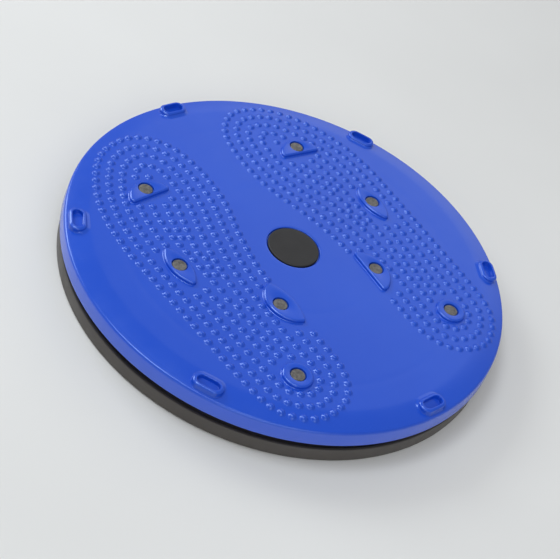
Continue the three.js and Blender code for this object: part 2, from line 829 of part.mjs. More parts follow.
/** The whole base disc as one moulding. */
function baseGeometry() {
  const firstFoot = Math.PI / foot.count;
  const ribs = [...around(baseSpoke, base.spokeCount), ...around(crossRib, base.spokeCount)];
  const bosses = around(footBoss, foot.count, firstFoot);
  const seats = around(footSeat, foot.count, firstFoot);
  const body = joined([baseShell(), ...bosses, ...ribs].map(solidOf));
  return geometryOf(body.subtract(joined(seats.map(solidOf))));
}

/** One foot: a rubber pad with a stem that plugs into its boss. */
function footGeometry() {
  return revolve([
    [0, 0],
    [foot.radius - foot.padTaper, 0],
    [foot.radius, foot.padTaper],
    [foot.radius, foot.padThickness],
    [foot.stemRadius, foot.padThickness],
    [foot.stemRadius, foot.padThickness + foot.stemLength],
    [0, foot.padThickness + foot.stemLength],
  ], footSegments);
}

// Bearing

/** One race: a flat steel ring with a round-bottomed groove; side is 1 below the balls and -1 above. */
function raceGeometry(side) {
  const face = grooveRadius - bearing.grooveDepth;
  const halfAngle = Math.acos(face / grooveRadius);
  const groove = Array.from({ length: 4 }, (_, i) => {
    const angle = -halfAngle + (2 * halfAngle * i) / 3;
    return [bearing.pitchRadius + grooveRadius * Math.sin(angle), -grooveRadius * Math.cos(angle)];
  });
  const back = -face - bearing.raceThickness;
  const profile = [[raceInner, back], [raceInner, -face], ...groove, [raceOuter, -face], [raceOuter, back]];
  return revolve(profile.map(([r, z]) => [r, ballHeight + side * z]), trackSegments);
}

/** The cage: a flat ring with a round pocket for each ball. */
function cageGeometry() {
  const holeAt = (centre, radius, segments) => {
    const outline = polygon(radius, segments).map((p) => p.add(centre));
    return new THREE.Path([...outline].reverse());
  };
  const ring = new THREE.Shape(polygon(bearing.pitchRadius + bearing.cageWidth / 2, trackSegments));
  ring.holes = polygon(bearing.pitchRadius, bearing.ballCount).map((centre) => holeAt(centre, grooveRadius, smallSegments / 2));
  ring.holes.push(holeAt(new THREE.Vector2(), bearing.pitchRadius - bearing.cageWidth / 2, trackSegments));
  const geometry = new THREE.ExtrudeGeometry(ring, { depth: bearing.cageThickness, bevelEnabled: false });
  geometry.translate(0, 0, ballHeight - bearing.cageThickness / 2);
  return geometryOf(solidOf(geometry));
}

// Pivot hardware

/** The hexagon bolt, with its head's upper corners broken. */
function boltGeometry() {
  const headRadius = pivot.headWidth / Math.sqrt(3);
  const hexagon = polygon(headRadius, 6);
  const head = loft([
    ringAt(hexagon, boltHeadBottom),
    ringAt(hexagon, boltHeadTop - pivot.headChamfer),
    ringAt(inset(hexagon, pivot.headChamfer), boltHeadTop),
  ]);
  const shankTop = boltHeadBottom + pivot.headHeight / 2;
  const shank = pillar(pivot.boltRadius, boltEnd, shankTop, smallSegments);
  return geometryOf(solidOf(head).add(solidOf(shank)));
}

/** The lock nut: a hexagon with a round collar that holds its plastic ring. */
function nutGeometry() {
  const hexTop = nutWasherBottom - fitGap;
  const hexBottom = nutBottom + pivot.nutCollar;
  const hexagon = polygon(pivot.nutWidth / Math.sqrt(3), 6);
  const body = solidOf(loft([ringAt(hexagon, hexBottom), ringAt(hexagon, hexTop)]));
  const collar = solidOf(pillar(pivot.nutWidth / 2 - fitGap, nutBottom, hexBottom + fitGap, smallSegments));
  const bore = solidOf(pillar(boreRadius, nutBottom - cutOverrun, hexTop + cutOverrun, smallSegments));
  return geometryOf(body.add(collar).subtract(bore));
}

/** A flat washer round the bolt. */
function washerGeometry(radius, bottom, thickness) {
  const top = bottom + thickness;
  return revolve([[boreRadius, bottom], [radius, bottom], [radius, top], [boreRadius, top]], smallSegments);
}

// Assembly

/** Adds one named piece with its own material to a group. */
function addPiece(group, name, geometry, finish) {
  const mesh = new THREE.Mesh(geometry, new THREE.MeshStandardMaterial(finishes[finish]));
  mesh.name = name;
  group.add(mesh);
  return mesh;
}

const disc = new THREE.Group();

const lowerHalf = new THREE.Group();
disc.add(lowerHalf);
addPiece(lowerHalf, "base_disc", baseGeometry(), "darkPlastic");
for (let i = 0; i < foot.count; i += 1) {
  const angle = Math.PI / foot.count + (2 * Math.PI * i) / foot.count;
  const pad = addPiece(lowerHalf, `foot_${i + 1}`, footGeometry(), "rubber");
  pad.position.set(footRadius * Math.cos(angle), footRadius * Math.sin(angle), 0);
}
addPiece(lowerHalf, "lower_race", raceGeometry(1), "steel");
addPiece(lowerHalf, "pivot_bolt", boltGeometry(), "steel");
addPiece(lowerHalf, "head_washer",
  washerGeometry(pivot.washerRadius, headWasherBottom, pivot.washerThickness), "steel");
addPiece(lowerHalf, "thrust_washer",
  washerGeometry(pivot.thrustRadius, thrustBottom, pivot.thrustThickness), "nylon");
addPiece(lowerHalf, "nut_washer",
  washerGeometry(pivot.washerRadius, nutWasherBottom, pivot.washerThickness), "steel");
addPiece(lowerHalf, "lock_nut", nutGeometry(), "steel");

const rollingRing = new THREE.Group();
disc.add(rollingRing);
addPiece(rollingRing, "ball_cage", cageGeometry(), "nylon");
for (let i = 0; i < bearing.ballCount; i += 1) {
  const angle = (2 * Math.PI * i) / bearing.ballCount;
  const ball = addPiece(rollingRing, `ball_${String(i + 1).padStart(2, "0")}`,
    new THREE.SphereGeometry(bearing.ballRadius, 8, 4), "steel");
  ball.rotation.x = Math.PI / 2;
  ball.position.set(bearing.pitchRadius * Math.cos(angle), bearing.pitchRadius * Math.sin(angle), ballHeight);
}

const upperHalf = new THREE.Group();
disc.add(upperHalf);
addPiece(upperHalf, "deck", deckGeometry(), "bluePlastic");
addPiece(upperHalf, "upper_race", raceGeometry(-1), "steel");
addPiece(upperHalf, "centre_cap", capGeometry(), "capPlastic");
for (const { name, at } of magnetPlaces()) {
  const disk = addPiece(upperHalf, name, magnetGeometry(), "ferrite");
  disk.position.set(at.x, at.y, 0);
}

export default disc;
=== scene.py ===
"""Studio scene of a waist twisting disc: a blue nubbed deck that turns on a dark base.

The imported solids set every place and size. The pieces that show are rebuilt here as fine surfaces in
millimetres, written to the meshes in metres, and each gets a procedural finish.
"""

import logging
import math
from dataclasses import dataclass, field
from enum import Enum

import bmesh
import bpy
import numpy as np
from mathutils import Matrix, Vector


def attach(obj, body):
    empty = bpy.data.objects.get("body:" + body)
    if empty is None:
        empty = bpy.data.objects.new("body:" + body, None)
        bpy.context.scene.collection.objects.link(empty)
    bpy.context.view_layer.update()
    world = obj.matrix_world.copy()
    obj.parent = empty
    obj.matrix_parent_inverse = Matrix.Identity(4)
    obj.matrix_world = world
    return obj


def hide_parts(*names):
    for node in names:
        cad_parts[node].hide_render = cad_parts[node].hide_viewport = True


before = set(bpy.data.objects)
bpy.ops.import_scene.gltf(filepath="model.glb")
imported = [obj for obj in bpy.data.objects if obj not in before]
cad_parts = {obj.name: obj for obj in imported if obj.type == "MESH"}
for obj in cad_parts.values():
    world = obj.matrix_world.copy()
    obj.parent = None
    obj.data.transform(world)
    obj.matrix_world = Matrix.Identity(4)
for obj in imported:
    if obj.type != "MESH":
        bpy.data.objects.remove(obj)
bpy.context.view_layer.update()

MM = 0.001
TAU = 2 * math.pi

# In millimetres: the break on most edges, and how near its axis a turned face ends.
EDGE = 0.3
AXIS = 0.01

# The span in which most of a noise's values lie.
MIDDLE = (0.3, 0.7)

Piece = bpy.types.Object
Socket = bpy.types.NodeSocket
Shade = tuple[float, float, float]
Light = tuple[float, float, float, float]
Pair = tuple[float, float]
Triple = tuple[float, float, float]

log = logging.getLogger("twisting_disc")


class Body(Enum):
    """The three rigid bodies of the disc."""

    BASE = "base"
    RING = "rolling_ring"
    DECK = "deck"


class Side(Enum):
    """Which foot a magnet and its seat belong to; the value is the sign of x."""

    RIGHT = 1
    LEFT = -1

    @property
    def word(self) -> str:
        """The side's name as the pieces' names have it."""
        return self.name.lower()


class Grain(Enum):
    """How a steel part was worked, which decides how its fine marks run."""

    TURNED = "turned"
    POLISHED = "polished"
    PLATED = "plated"


def linear(colour: Shade) -> Light:
    """The scene-linear value of a colour written as it shows on a screen.

    Args:
        colour: Red, green and blue from 0 to 255.

    Returns:
        Red, green, blue and alpha in scene-linear light.
    """
    shares = [channel / 255 for channel in colour]
    lit = [share / 12.92 if share <= 0.04045 else ((share + 0.055) / 1.055) ** 2.4 for share in shares]
    return (*lit, 1.0)


# Finishes


@dataclass(frozen=True)
class Cloud:
    """Soft noise: cells to the metre, octaves, and how strong the finer octaves are."""

    scale: float
    octaves: float = 3
    fineness: float = 0.55


class Sketch:
    """A material's node tree, with the few recipes that the finishes share."""

    # The Mix node's two colour inputs and its colour output, which share their names with others.
    MIXED_COLOURS = (6, 7)
    MIXED_RESULT = 2

    def __init__(self, name: str) -> None:
        """Starts a material with a Principled shader and Object coordinates.

        Args:
            name: The material's name.
        """
        self.material = bpy.data.materials.new(name)
        self.material.use_nodes = True
        self.tree = self.material.node_tree
        self.shader = next(node for node in self.tree.nodes if node.type == "BSDF_PRINCIPLED")
        self.place = self.node("TexCoord").outputs["Object"]

    def link(self, source: Socket, target: Socket) -> None:
        """Joins one output to one input."""
        self.tree.links.new(source, target)

    def node(self, kind: str, **inputs: Socket | float | tuple[float, ...]) -> bpy.types.Node:
        """Adds a node, with some of its inputs joined or set.

        Args:
            kind: The node's type, without its leading ShaderNode.
            inputs: A socket or a value for an input, by the input's name with underscores for spaces.

        Returns:
            The node.
        """
        node = self.tree.nodes.new(f"ShaderNode{kind}")
        for name, value in inputs.items():
            target = node.inputs[name.replace("_", " ")]
            if isinstance(value, Socket):
                self.link(value, target)
            else:
                target.default_value = value
        return node

    def stretched(self, scale: Triple) -> Socket:
        """Object coordinates scaled on each axis, so that a pattern runs longer one way than another."""
        return self.node("Mapping", Scale=scale, Vector=self.place).outputs["Vector"]

    def height(self) -> Socket:
        """The height above the floor, in metres."""
        return self.node("SeparateXYZ", Vector=self.place).outputs["Z"]

    def polar(self) -> Socket:
        """Radius and height about the disc's axis, for marks that run round a turned face.

        Returns:
            A vector of the radius, nought and the height.
        """
        parts = self.node("SeparateXYZ", Vector=self.place)
        flat = self.node("CombineXYZ", X=parts.outputs["X"], Y=parts.outputs["Y"])
        radius = self.node("VectorMath", Vector=flat.outputs["Vector"])
        radius.operation = "LENGTH"
        marks = self.node("CombineXYZ", X=radius.outputs["Value"], Z=parts.outputs["Z"])
        return marks.outputs["Vector"]

    def noise(self, cloud: Cloud, vector: Socket | None = None) -> Socket:
        """Soft noise with a cloud's cells and octaves.

        Args:
            cloud: Its sizes.
            vector: Coordinates, or None for Object coordinates.

        Returns:
            The noise's value.
        """
        node = self.node("TexNoise", Scale=cloud.scale, Detail=cloud.octaves, Roughness=cloud.fineness,
                         Vector=vector or self.place)
        return node.outputs["Fac"]

    def specks(self, scale: float) -> Socket:
        """Distance to the nearest of many scattered grains, 1 / scale metres apart."""
        return self.node("TexVoronoi", Scale=scale, Vector=self.place).outputs["Distance"]

    def ramp(self, value: Socket, span: Pair, shades: list[Shade]) -> Socket:
        """Colours spread evenly over a span of a value.

        Args:
            value: The value read.
            span: Where the first colour ends, and where the last one starts.
            shades: Two or more colours, as they show on a screen.

        Returns:
            The colour.
        """
        node = self.node("ValToRGB", Fac=value)
        stops = node.color_ramp.elements
        while len(stops) < len(shades):
            stops.new(0.5)
        for stop, position, shade in zip(stops, np.linspace(*span, len(shades)), shades):
            stop.position = position
            stop.color = linear(shade)
        return node.outputs["Color"]

    def span(self, value: Socket, read: Pair = MIDDLE, given: Pair = (0.0, 1.0)) -> Socket:
        """A value's middle part carried to another span.

        Args:
            value: The value read.
            read: The two ends of the part read.
            given: The results at and beyond those ends.

        Returns:
            The carried value.
        """
        node = self.node("MapRange", Value=value, From_Min=read[0], From_Max=read[1],
                         To_Min=given[0], To_Max=given[1])
        return node.outputs["Result"]

    def blend(self, share: Socket, colour: Socket, plain: Shade) -> Socket:
        """A colour that turns into a plain one.

        Args:
            share: How much of the plain one shows, from 0 to 1.
            colour: The colour it starts from.
            plain: The plain one, as it shows on a screen.

        Returns:
            The blended colour.
        """
        node = self.node("Mix", Factor=share)
        node.data_type = "RGBA"
        first, second = (node.inputs[index] for index in self.MIXED_COLOURS)
        self.link(colour, first)
        second.default_value = linear(plain)
        return node.outputs[self.MIXED_RESULT]

    def relief(self, height: Socket, depth_mm: float, strength: float, under: Socket | None = None) -> Socket:
        """A bump of a given depth, laid over another one if there is one.

        Args:
            height: The height from 0 to 1.
            depth_mm: What a height of 1 stands for.
            strength: How much of it shows.
            under: The normal of a coarser bump below.

        Returns:
            The bent normal.
        """
        node = self.node("Bump", Distance=depth_mm * MM, Strength=strength, Height=height)
        if under is not None:
            self.link(under, node.inputs["Normal"])
        return node.outputs["Normal"]

    def dress(self, colour: Socket, roughness: Socket, normal: Socket) -> None:
        """Puts the three varying inputs on the shader.

        Args:
            colour: The base colour.
            roughness: The roughness.
            normal: The bent normal.
        """
        self.link(colour, self.shader.inputs["Base Color"])
        self.link(roughness, self.shader.inputs["Roughness"])
        self.link(normal, self.shader.inputs["Normal"])

    def set(self, name: str, value: float | Light) -> None:
        """Gives one of the shader's inputs a plain value."""
        self.shader.inputs[name].default_value = value


@dataclass(frozen=True)
class MouldedPlastic:
    """Injection-moulded plastic: a fine skin, slow shade drift from the melt's flow, and a little rubbing.

    A moulding may also turn to a paler colour between two heights, where its outer wall begins: a painted
    sheen that stands in for the light and reflection the wall shows.
    """

    name: str
    colour: Shade
    drift: Shade
    rubbed: Shade
    roughness: Pair
    skin: Cloud = Cloud(1500, 2)
    skin_depth_mm: float = 0.02
    wave_depth_mm: float = 0.1
    specular: float = 0.5
    glint: Triple = (1.0, 1.0, 1.0)
    painted_wall_sheen: Shade | None = None
    painted_sheen_turn_mm: Pair = (0.0, 0.0)
    flow: Cloud = Cloud(9, 2)
    flow_span: Pair = (0.35, 0.65)
    scuffs: Cloud = Cloud(160, 6, 0.7)
    scuff_stretch: Triple = (1, 3.2, 1)
    scuff_span: Pair = (0.62, 0.78)
    haze: Cloud = Cloud(60, 5)
    haze_span: Pair = (0.35, 0.68)
    wave: Cloud = Cloud(55, 1)
    wave_strength: float = 0.25
    skin_strength: float = 0.35

    def build(self) -> bpy.types.Material:
        """Makes the material.

        Returns:
            The finished material.
        """
        sketch = Sketch(self.name)
        body = sketch.ramp(sketch.noise(self.flow), self.flow_span, [self.colour, self.drift])
        scuffs = sketch.noise(self.scuffs, sketch.stretched(self.scuff_stretch))
        colour = sketch.blend(sketch.span(scuffs, self.scuff_span), body, self.rubbed)
        # Painted sheen: below the turn the outer wall is blended to a paler colour in place of the light it
        # would catch and reflect.
        if self.painted_wall_sheen:
            high, low = self.painted_sheen_turn_mm
            turn = sketch.span(sketch.height(), (high * MM, low * MM))
            colour = sketch.blend(turn, colour, self.painted_wall_sheen)
        roughness = sketch.span(sketch.noise(self.haze), self.haze_span, self.roughness)
        wave = sketch.relief(sketch.noise(self.wave), self.wave_depth_mm, self.wave_strength)
        normal = sketch.relief(sketch.noise(self.skin), self.skin_depth_mm, self.skin_strength, wave)
        sketch.dress(colour, roughness, normal)
        sketch.set("Specular IOR Level", self.specular)
        sketch.set("Specular Tint", (*self.glint, 1.0))
        return sketch.material


@dataclass(frozen=True)
class SinteredFerrite:
    """A pressed and ground ferrite disc: mottled tan grey with dark pores and a ground face."""

    name: str
    light: Shade
    middle: Shade
    dark: Shade
    mottle: Cloud = Cloud(420, 5, 0.65)
    mottle_span: Pair = (0.32, 0.66)
    pore_scale: float = 900
    pore_span: Pair = (0.05, 0.22)
    roughness: Pair = (0.34, 0.6)
    ground: Cloud = Cloud(700)
    ground_stretch: Triple = (1, 9, 1)
    ground_depth_mm: float = 0.03
    ground_strength: float = 0.4
    grain_depth_mm: float = 0.08
    grain_strength: float = 0.5
    metallic: float = 0.35

    def build(self) -> bpy.types.Material:
        """Makes the material.

        Returns:
            The finished material.
        """
        sketch = Sketch(self.name)
        cloud = sketch.noise(self.mottle)
        mottle = sketch.ramp(cloud, self.mottle_span, [self.dark, self.middle, self.light])
        pores = sketch.span(sketch.specks(self.pore_scale), self.pore_span, (1.0, 0.0))
        colour = sketch.blend(pores, mottle, self.dark)
        roughness = sketch.span(cloud, given=self.roughness)
        marks = sketch.noise(self.ground, sketch.stretched(self.ground_stretch))
        ground = sketch.relief(marks, self.ground_depth_mm, self.ground_strength)
        normal = sketch.relief(cloud, self.grain_depth_mm, self.grain_strength, ground)
        sketch.dress(colour, roughness, normal)
        sketch.set("Metallic", self.metallic)
        return sketch.material


@dataclass(frozen=True)
class PressedRubber:
    """Matt black rubber with a fine sandblasted skin and dust in its pores."""

    name: str
    colour: Shade
    dust: Shade
    patches: Cloud = Cloud(130, 5, 0.7)
    patch_span: Pair = (0.4, 0.8)
    roughness: Pair = (0.78, 0.94)
    skin: Cloud = Cloud(2600)
    skin_depth_mm: float = 0.05
    skin_strength: float = 0.5

    def build(self) -> bpy.types.Material:
        """Makes the material.

        Returns:
            The finished material.
        """
        sketch = Sketch(self.name)
        cloud = sketch.noise(self.patches)
        colour = sketch.ramp(cloud, self.patch_span, [self.colour, self.dust])
        roughness = sketch.span(cloud, given=self.roughness)
        normal = sketch.relief(sketch.noise(self.skin), self.skin_depth_mm, self.skin_strength)
        sketch.dress(colour, roughness, normal)
        return sketch.material


@dataclass(frozen=True)
class WorkedSteel:
    """Steel with the marks of how it was made: turned rings, polish, or zinc plating."""

    name: str
    colour: Shade
    tint: Shade
    roughness: Pair
    grain: Grain
    marks: Cloud
    mark_depth_mm: float
    film: Cloud = Cloud(70, 4)
    film_span: Pair = (0.35, 0.7)
    plated_stretch: Triple = (1, 1, 0.35)
    mark_strength: float = 0.45

    def build(self) -> bpy.types.Material:
        """Makes the material.

        Returns:
            The finished material.
        """
        sketch = Sketch(self.name)
        run = None
        if self.grain is Grain.TURNED:
            run = sketch.polar()
        elif self.grain is Grain.PLATED:
            run = sketch.stretched(self.plated_stretch)
        marks = sketch.relief(sketch.noise(self.marks, run), self.mark_depth_mm, self.mark_strength)
        film = sketch.noise(self.film)
        colour = sketch.ramp(film, self.film_span, [self.colour, self.tint])
        roughness = sketch.span(film, given=self.roughness)
        sketch.dress(colour, roughness, marks)
        sketch.set("Metallic", 1.0)
        return sketch.material


# The deck's paler outer wall below 34.6 mm is a painted sheen, not a colour of the plastic.
BLUE_DECK = MouldedPlastic("blue_deck", (19, 73, 195), (21, 76, 199), (35, 85, 203), (0.19, 0.27),
                           skin_depth_mm=0.01, wave_depth_mm=0.06, specular=0.85, glint=(0.62, 0.78, 1.0),
                           painted_wall_sheen=(64, 98, 218), painted_sheen_turn_mm=(34.6, 32.0))
BASE_DARK = MouldedPlastic("base_dark", (77, 72, 67), (82, 77, 72), (93, 88, 83), (0.42, 0.56),
                           skin=Cloud(1100, 2), skin_depth_mm=0.05)
CAP_DARK = MouldedPlastic("cap_dark", (30, 28, 27), (33, 31, 30), (44, 42, 40), (0.4, 0.56),
                          skin=Cloud(900, 2), skin_depth_mm=0.05)
CAGE_NYLON = MouldedPlastic("cage_nylon", (226, 222, 210), (219, 214, 200), (205, 200, 186), (0.4, 0.55))
WASHER_NYLON = MouldedPlastic("washer_nylon", (232, 229, 219), (224, 220, 208), (208, 204, 192), (0.38, 0.5))
FERRITE = SinteredFerrite("ferrite_face", (130, 125, 118), (106, 102, 97), (70, 68, 66))
FOOT_RUBBER = PressedRubber("foot_rubber", (30, 30, 31), (66, 65, 63))
RACE_STEEL = WorkedSteel("race_steel", (178, 180, 184), (160, 161, 164), (0.224, 0.378),
                         Grain.TURNED, Cloud(2400, 2), 0.02)
BALL_STEEL = WorkedSteel("ball_steel", (200, 202, 206), (190, 192, 197), (0.08, 0.135),
                         Grain.POLISHED, Cloud(900, 2), 0.002)
BOLT_STEEL = WorkedSteel("bolt_steel", (176, 176, 170), (158, 160, 162), (0.272, 0.459),
                         Grain.PLATED, Cloud(1500, 4), 0.012)


# Surfaces


@dataclass
class Skin:
    """Grids of points, each a function of two parameters, gathered into one mesh."""

    name: str
    points: list[np.ndarray] = field(default_factory=list)
    faces: list[np.ndarray] = field(default_factory=list)
    count: int = 0
    merge_m: float = 2e-6
    flat_m: float = 1e-6

    def grid(self, rows: np.ndarray, across: bool = True, along: bool = False) -> None:
        """Adds a grid of quads: each point is joined to the next in its row and to the two in the next row.

        Args:
            rows: Points as an array of rows, columns and 3, in millimetres.
            across: Whether each row closes on itself.
            along: Whether the last row joins the first.
        """
        high, wide = rows.shape[:2]
        row, column = np.meshgrid(np.arange(high if along else high - 1),
                                  np.arange(wide if across else wide - 1), indexing="ij")
        next_row = (row + 1) % high
        next_column = (column + 1) % wide
        quads = np.stack([row * wide + column, row * wide + next_column,
                          next_row * wide + next_column, next_row * wide + column], axis=-1)
        self.points.append(rows.reshape(-1, 3))
        self.faces.append(quads.reshape(-1, 4) + self.count)
        self.count += high * wide

    def rib(self, path: np.ndarray, thickness: float, taper: float = 0.3, edge: float = 0.4) -> None:
        """Adds a straight rib that hangs from a plate, a little thinner and rounded along its lower edge.

        Its section has six points: the upper two half a thickness either side of the path, the lower four
        drawn in by half the taper and by the edge. Both ends close on their middles.

        Args:
            path: Rows of x, y, lower height and upper height, in millimetres.
            thickness: The rib's thickness at the plate.
            taper: How much thinner it is below.
            edge: The break along its lower edge.
        """
        along = path[-1, :2] - path[0, :2]
        side = np.array([-along[1], along[0]]) / np.linalg.norm(along)
        half, foot = thickness / 2, (thickness - taper) / 2
        across = np.array([-half, -foot, -foot + edge, foot - edge, foot, half])
        lift = np.array([0, edge, 0, 0, edge, 0])
        upper = np.array([1, 0, 0, 0, 0, 1])
        plan = path[:, None, :2] + across[:, None] * side
        height = np.where(upper, path[:, 3:], path[:, 2:3] + lift)
        section = np.concatenate([plan, height[..., None]], axis=-1)
        ends = [np.broadcast_to(section[i].mean(axis=0), section[i].shape) for i in (0, -1)]
        self.grid(np.stack([ends[0], *section, ends[1]]))

    def mesh(self, smooth_deg: float) -> Piece:
        """Makes the object: doubled points merged, flat faces dropped and normals outwards.

        Args:
            smooth_deg: Edges sharper than this stay crisp.

        Returns:
            The object, at the origin.
        """
        data = bpy.data.meshes.new(self.name)
        data.from_pydata(np.concatenate(self.points) * MM, [], np.concatenate(self.faces))
        work = bmesh.new()
        work.from_mesh(data)
        bmesh.ops.remove_doubles(work, verts=work.verts, dist=self.merge_m)
        bmesh.ops.dissolve_degenerate(work, edges=work.edges, dist=self.flat_m)
        bmesh.ops.recalc_face_normals(work, faces=work.faces)
        work.to_mesh(data)
        work.free()
        data.shade_smooth()
        data.set_sharp_from_angle(angle=math.radians(smooth_deg))
        piece = bpy.data.objects.new(self.name, data)
        bpy.context.scene.collection.objects.link(piece)
        return piece


def arc(centre: Pair, radius: float, start_deg: float, end_deg: float, steps: int) -> np.ndarray:
    """Points of a round in the radius and height plane: centre plus radius times the angle's cosine and sine.

    Args:
        centre: The round's middle.
        radius: Its radius.
        start_deg: The angle of its first point.
        end_deg: The angle of its last point.
        steps: How many steps lie between them.

    Returns:
        Pairs of radius and height.
    """
    angle = np.radians(np.linspace(start_deg, end_deg, steps + 1))
    return np.stack([centre[0] + radius * np.cos(angle), centre[1] + radius * np.sin(angle)], axis=1)


def chain(*parts: np.ndarray | Pair) -> np.ndarray:
    """Runs of points and single points as one profile."""
    return np.concatenate([np.atleast_2d(np.asarray(part, float)) for part in parts])


def refined(profile: np.ndarray, step: float) -> np.ndarray:
    """A closed profile with points added so that none are further apart than a step.

    Args:
        profile: Pairs of radius and height.
        step: The longest distance wanted, in millimetres.

    Returns:
        The finer profile, still closed by its first point.
    """
    after = np.roll(profile, -1, axis=0)
    counts = np.maximum(1, np.ceil(np.linalg.norm(after - profile, axis=1) / step)).astype(int)
    runs = [start + (end - start) * (np.arange(count) / count)[:, None]
            for start, end, count in zip(profile, after, counts)]
    return np.concatenate(runs)


def compass(count: int) -> np.ndarray:
    """Directions spread evenly round a circle, each its angle's cosine and sine."""
    angle = np.arange(count) * TAU / count
    return np.stack([np.cos(angle), np.sin(angle)], axis=1)


def spin(angle: float) -> np.ndarray:
    """The matrix that turns rows of x, y and z counter-clockwise about the height, written after them."""
    across, along = math.cos(angle), math.sin(angle)
    return np.array([[across, along, 0], [-along, across, 0], [0, 0, 1]])


def turned(profile: np.ndarray, segments: int, centre: Pair = (0.0, 0.0)) -> np.ndarray:
    """A profile carried round a vertical axis: x and y are the radius times the angle's cosine and sine.

    Args:
        profile: Pairs of radius and height.
        segments: Steps round the axis.
        centre: The axis, in millimetres.

    Returns:
        Points as rows of the profile and columns of the angle.
    """
    plan = np.asarray(centre) + profile[:, None, :1] * compass(segments)
    height = np.broadcast_to(profile[:, None, 1:], (*plan.shape[:2], 1))
    return np.concatenate([plan, height], axis=-1)


def layered(rings: list[tuple[np.ndarray, float | np.ndarray]]) -> np.ndarray:
    """Outlines in plan, each raised to its own height or heights, as the rows of one grid."""
    return np.stack([np.column_stack([plan, np.broadcast_to(height, len(plan))]) for plan, height in rings])


def surface(name: str, rows: np.ndarray, smooth_deg: float, along: bool = False) -> Piece:
    """One grid as an object.

    Args:
        name: The object's name.
        rows: Points as an array of rows, columns and 3; each row closes on itself.
        smooth_deg: Edges sharper than this stay crisp.
        along: Whether the last row joins the first.

    Returns:
        The object.
    """
    skin = Skin(name)
    skin.grid(rows, along=along)
    return skin.mesh(smooth_deg)


def eased(*bends: Triple, points: int = 5) -> np.ndarray:
    """A moulded edge's section from its wall to its face, as bends with their own radius.

    Each bend runs from one tilt of the surface to a smaller one; a point moves by the radius times the
    change of the tilt's sine inwards, and by the radius times the change of its cosine upwards.

    Args:
        bends: Start tilt and end tilt in degrees, and radius, from the wall inwards.
        points: The points of each bend, with both its ends.

    Returns:
        Run and rise from the wall's top, a row for each point.
    """
    moves = [np.zeros((1, 2))]
    for start, end, radius in bends:
        tilt = np.radians(np.linspace(start, end, points))
        steps = radius * np.stack([-np.diff(np.sin(tilt)), np.diff(np.cos(tilt))], axis=1)
        moves.append(moves[-1][-1] + np.cumsum(steps, axis=0))
    return np.concatenate(moves)


def evenly(outline: np.ndarray, count: int) -> np.ndarray:
    """A closed outline's points, spread evenly along its length.

    Args:
        outline: Pairs of x and y.
        count: How many points are wanted.

    Returns:
        The spread points, from the outline's first.
    """
    closed = np.vstack([outline, outline[:1]])
    reach = np.concatenate([[0], np.cumsum(np.linalg.norm(np.diff(closed, axis=0), axis=1))])
    wanted = np.linspace(0, reach[-1], count, endpoint=False)
    return np.stack([np.interp(wanted, reach, closed[:, 0]), np.interp(wanted, reach, closed[:, 1])], axis=1)


def outward(outline: np.ndarray) -> np.ndarray:
    """The outward direction at each point of a counter-clockwise outline, from its neighbours.

    Args:
        outline: Pairs of x and y.

    Returns:
        A direction of length 1 for each point.
    """
    along = np.roll(outline, -1, axis=0) - np.roll(outline, 1, axis=0)
    along /= np.linalg.norm(along, axis=1, keepdims=True)
    return np.stack([along[:, 1], -along[:, 0]], axis=1)


def place(piece: Piece, body: Body, slot: str, material: bpy.types.Material, *nodes: str) -> None:
    """Gives a finished piece its finish and its body, and hides the solids that it stands for.

    Args:
        piece: The object.
        body: What it moves with.
        slot: The name of a material slot; not used.
        material: Its finish.
        nodes: The solids that it stands for.
    """
    piece.data.materials.append(material)
    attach(piece, body.value)
    if nodes:
        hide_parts(*nodes)
    log.info("%s: %d faces on %s", piece.name, len(piece.data.polygons), body.value)


@dataclass(frozen=True)
class RaceSeat:
    """The pair of ring walls that hold a race, and the land that it rests on, in the deck and in the base."""

    inner: float = 64.2
    outer: float = 81.8
    wall: float = 2.4
    land: float = 2.5
    lip: float = 1.7

    def pair(self, section: np.ndarray) -> tuple[np.ndarray, np.ndarray]:
        """The inner wall's section, and the same mirrored at the outer wall.

        Args:
            section: Offset from the seat's inner radius and height, from the middle of the disc outwards.

        Returns:
            The two sections as radius and height, both from the middle of the disc outwards.
        """
        mirrored = section[::-1] * [-1, 1]
        return section + [self.inner, 0], mirrored + [self.outer, 0]


# Deck


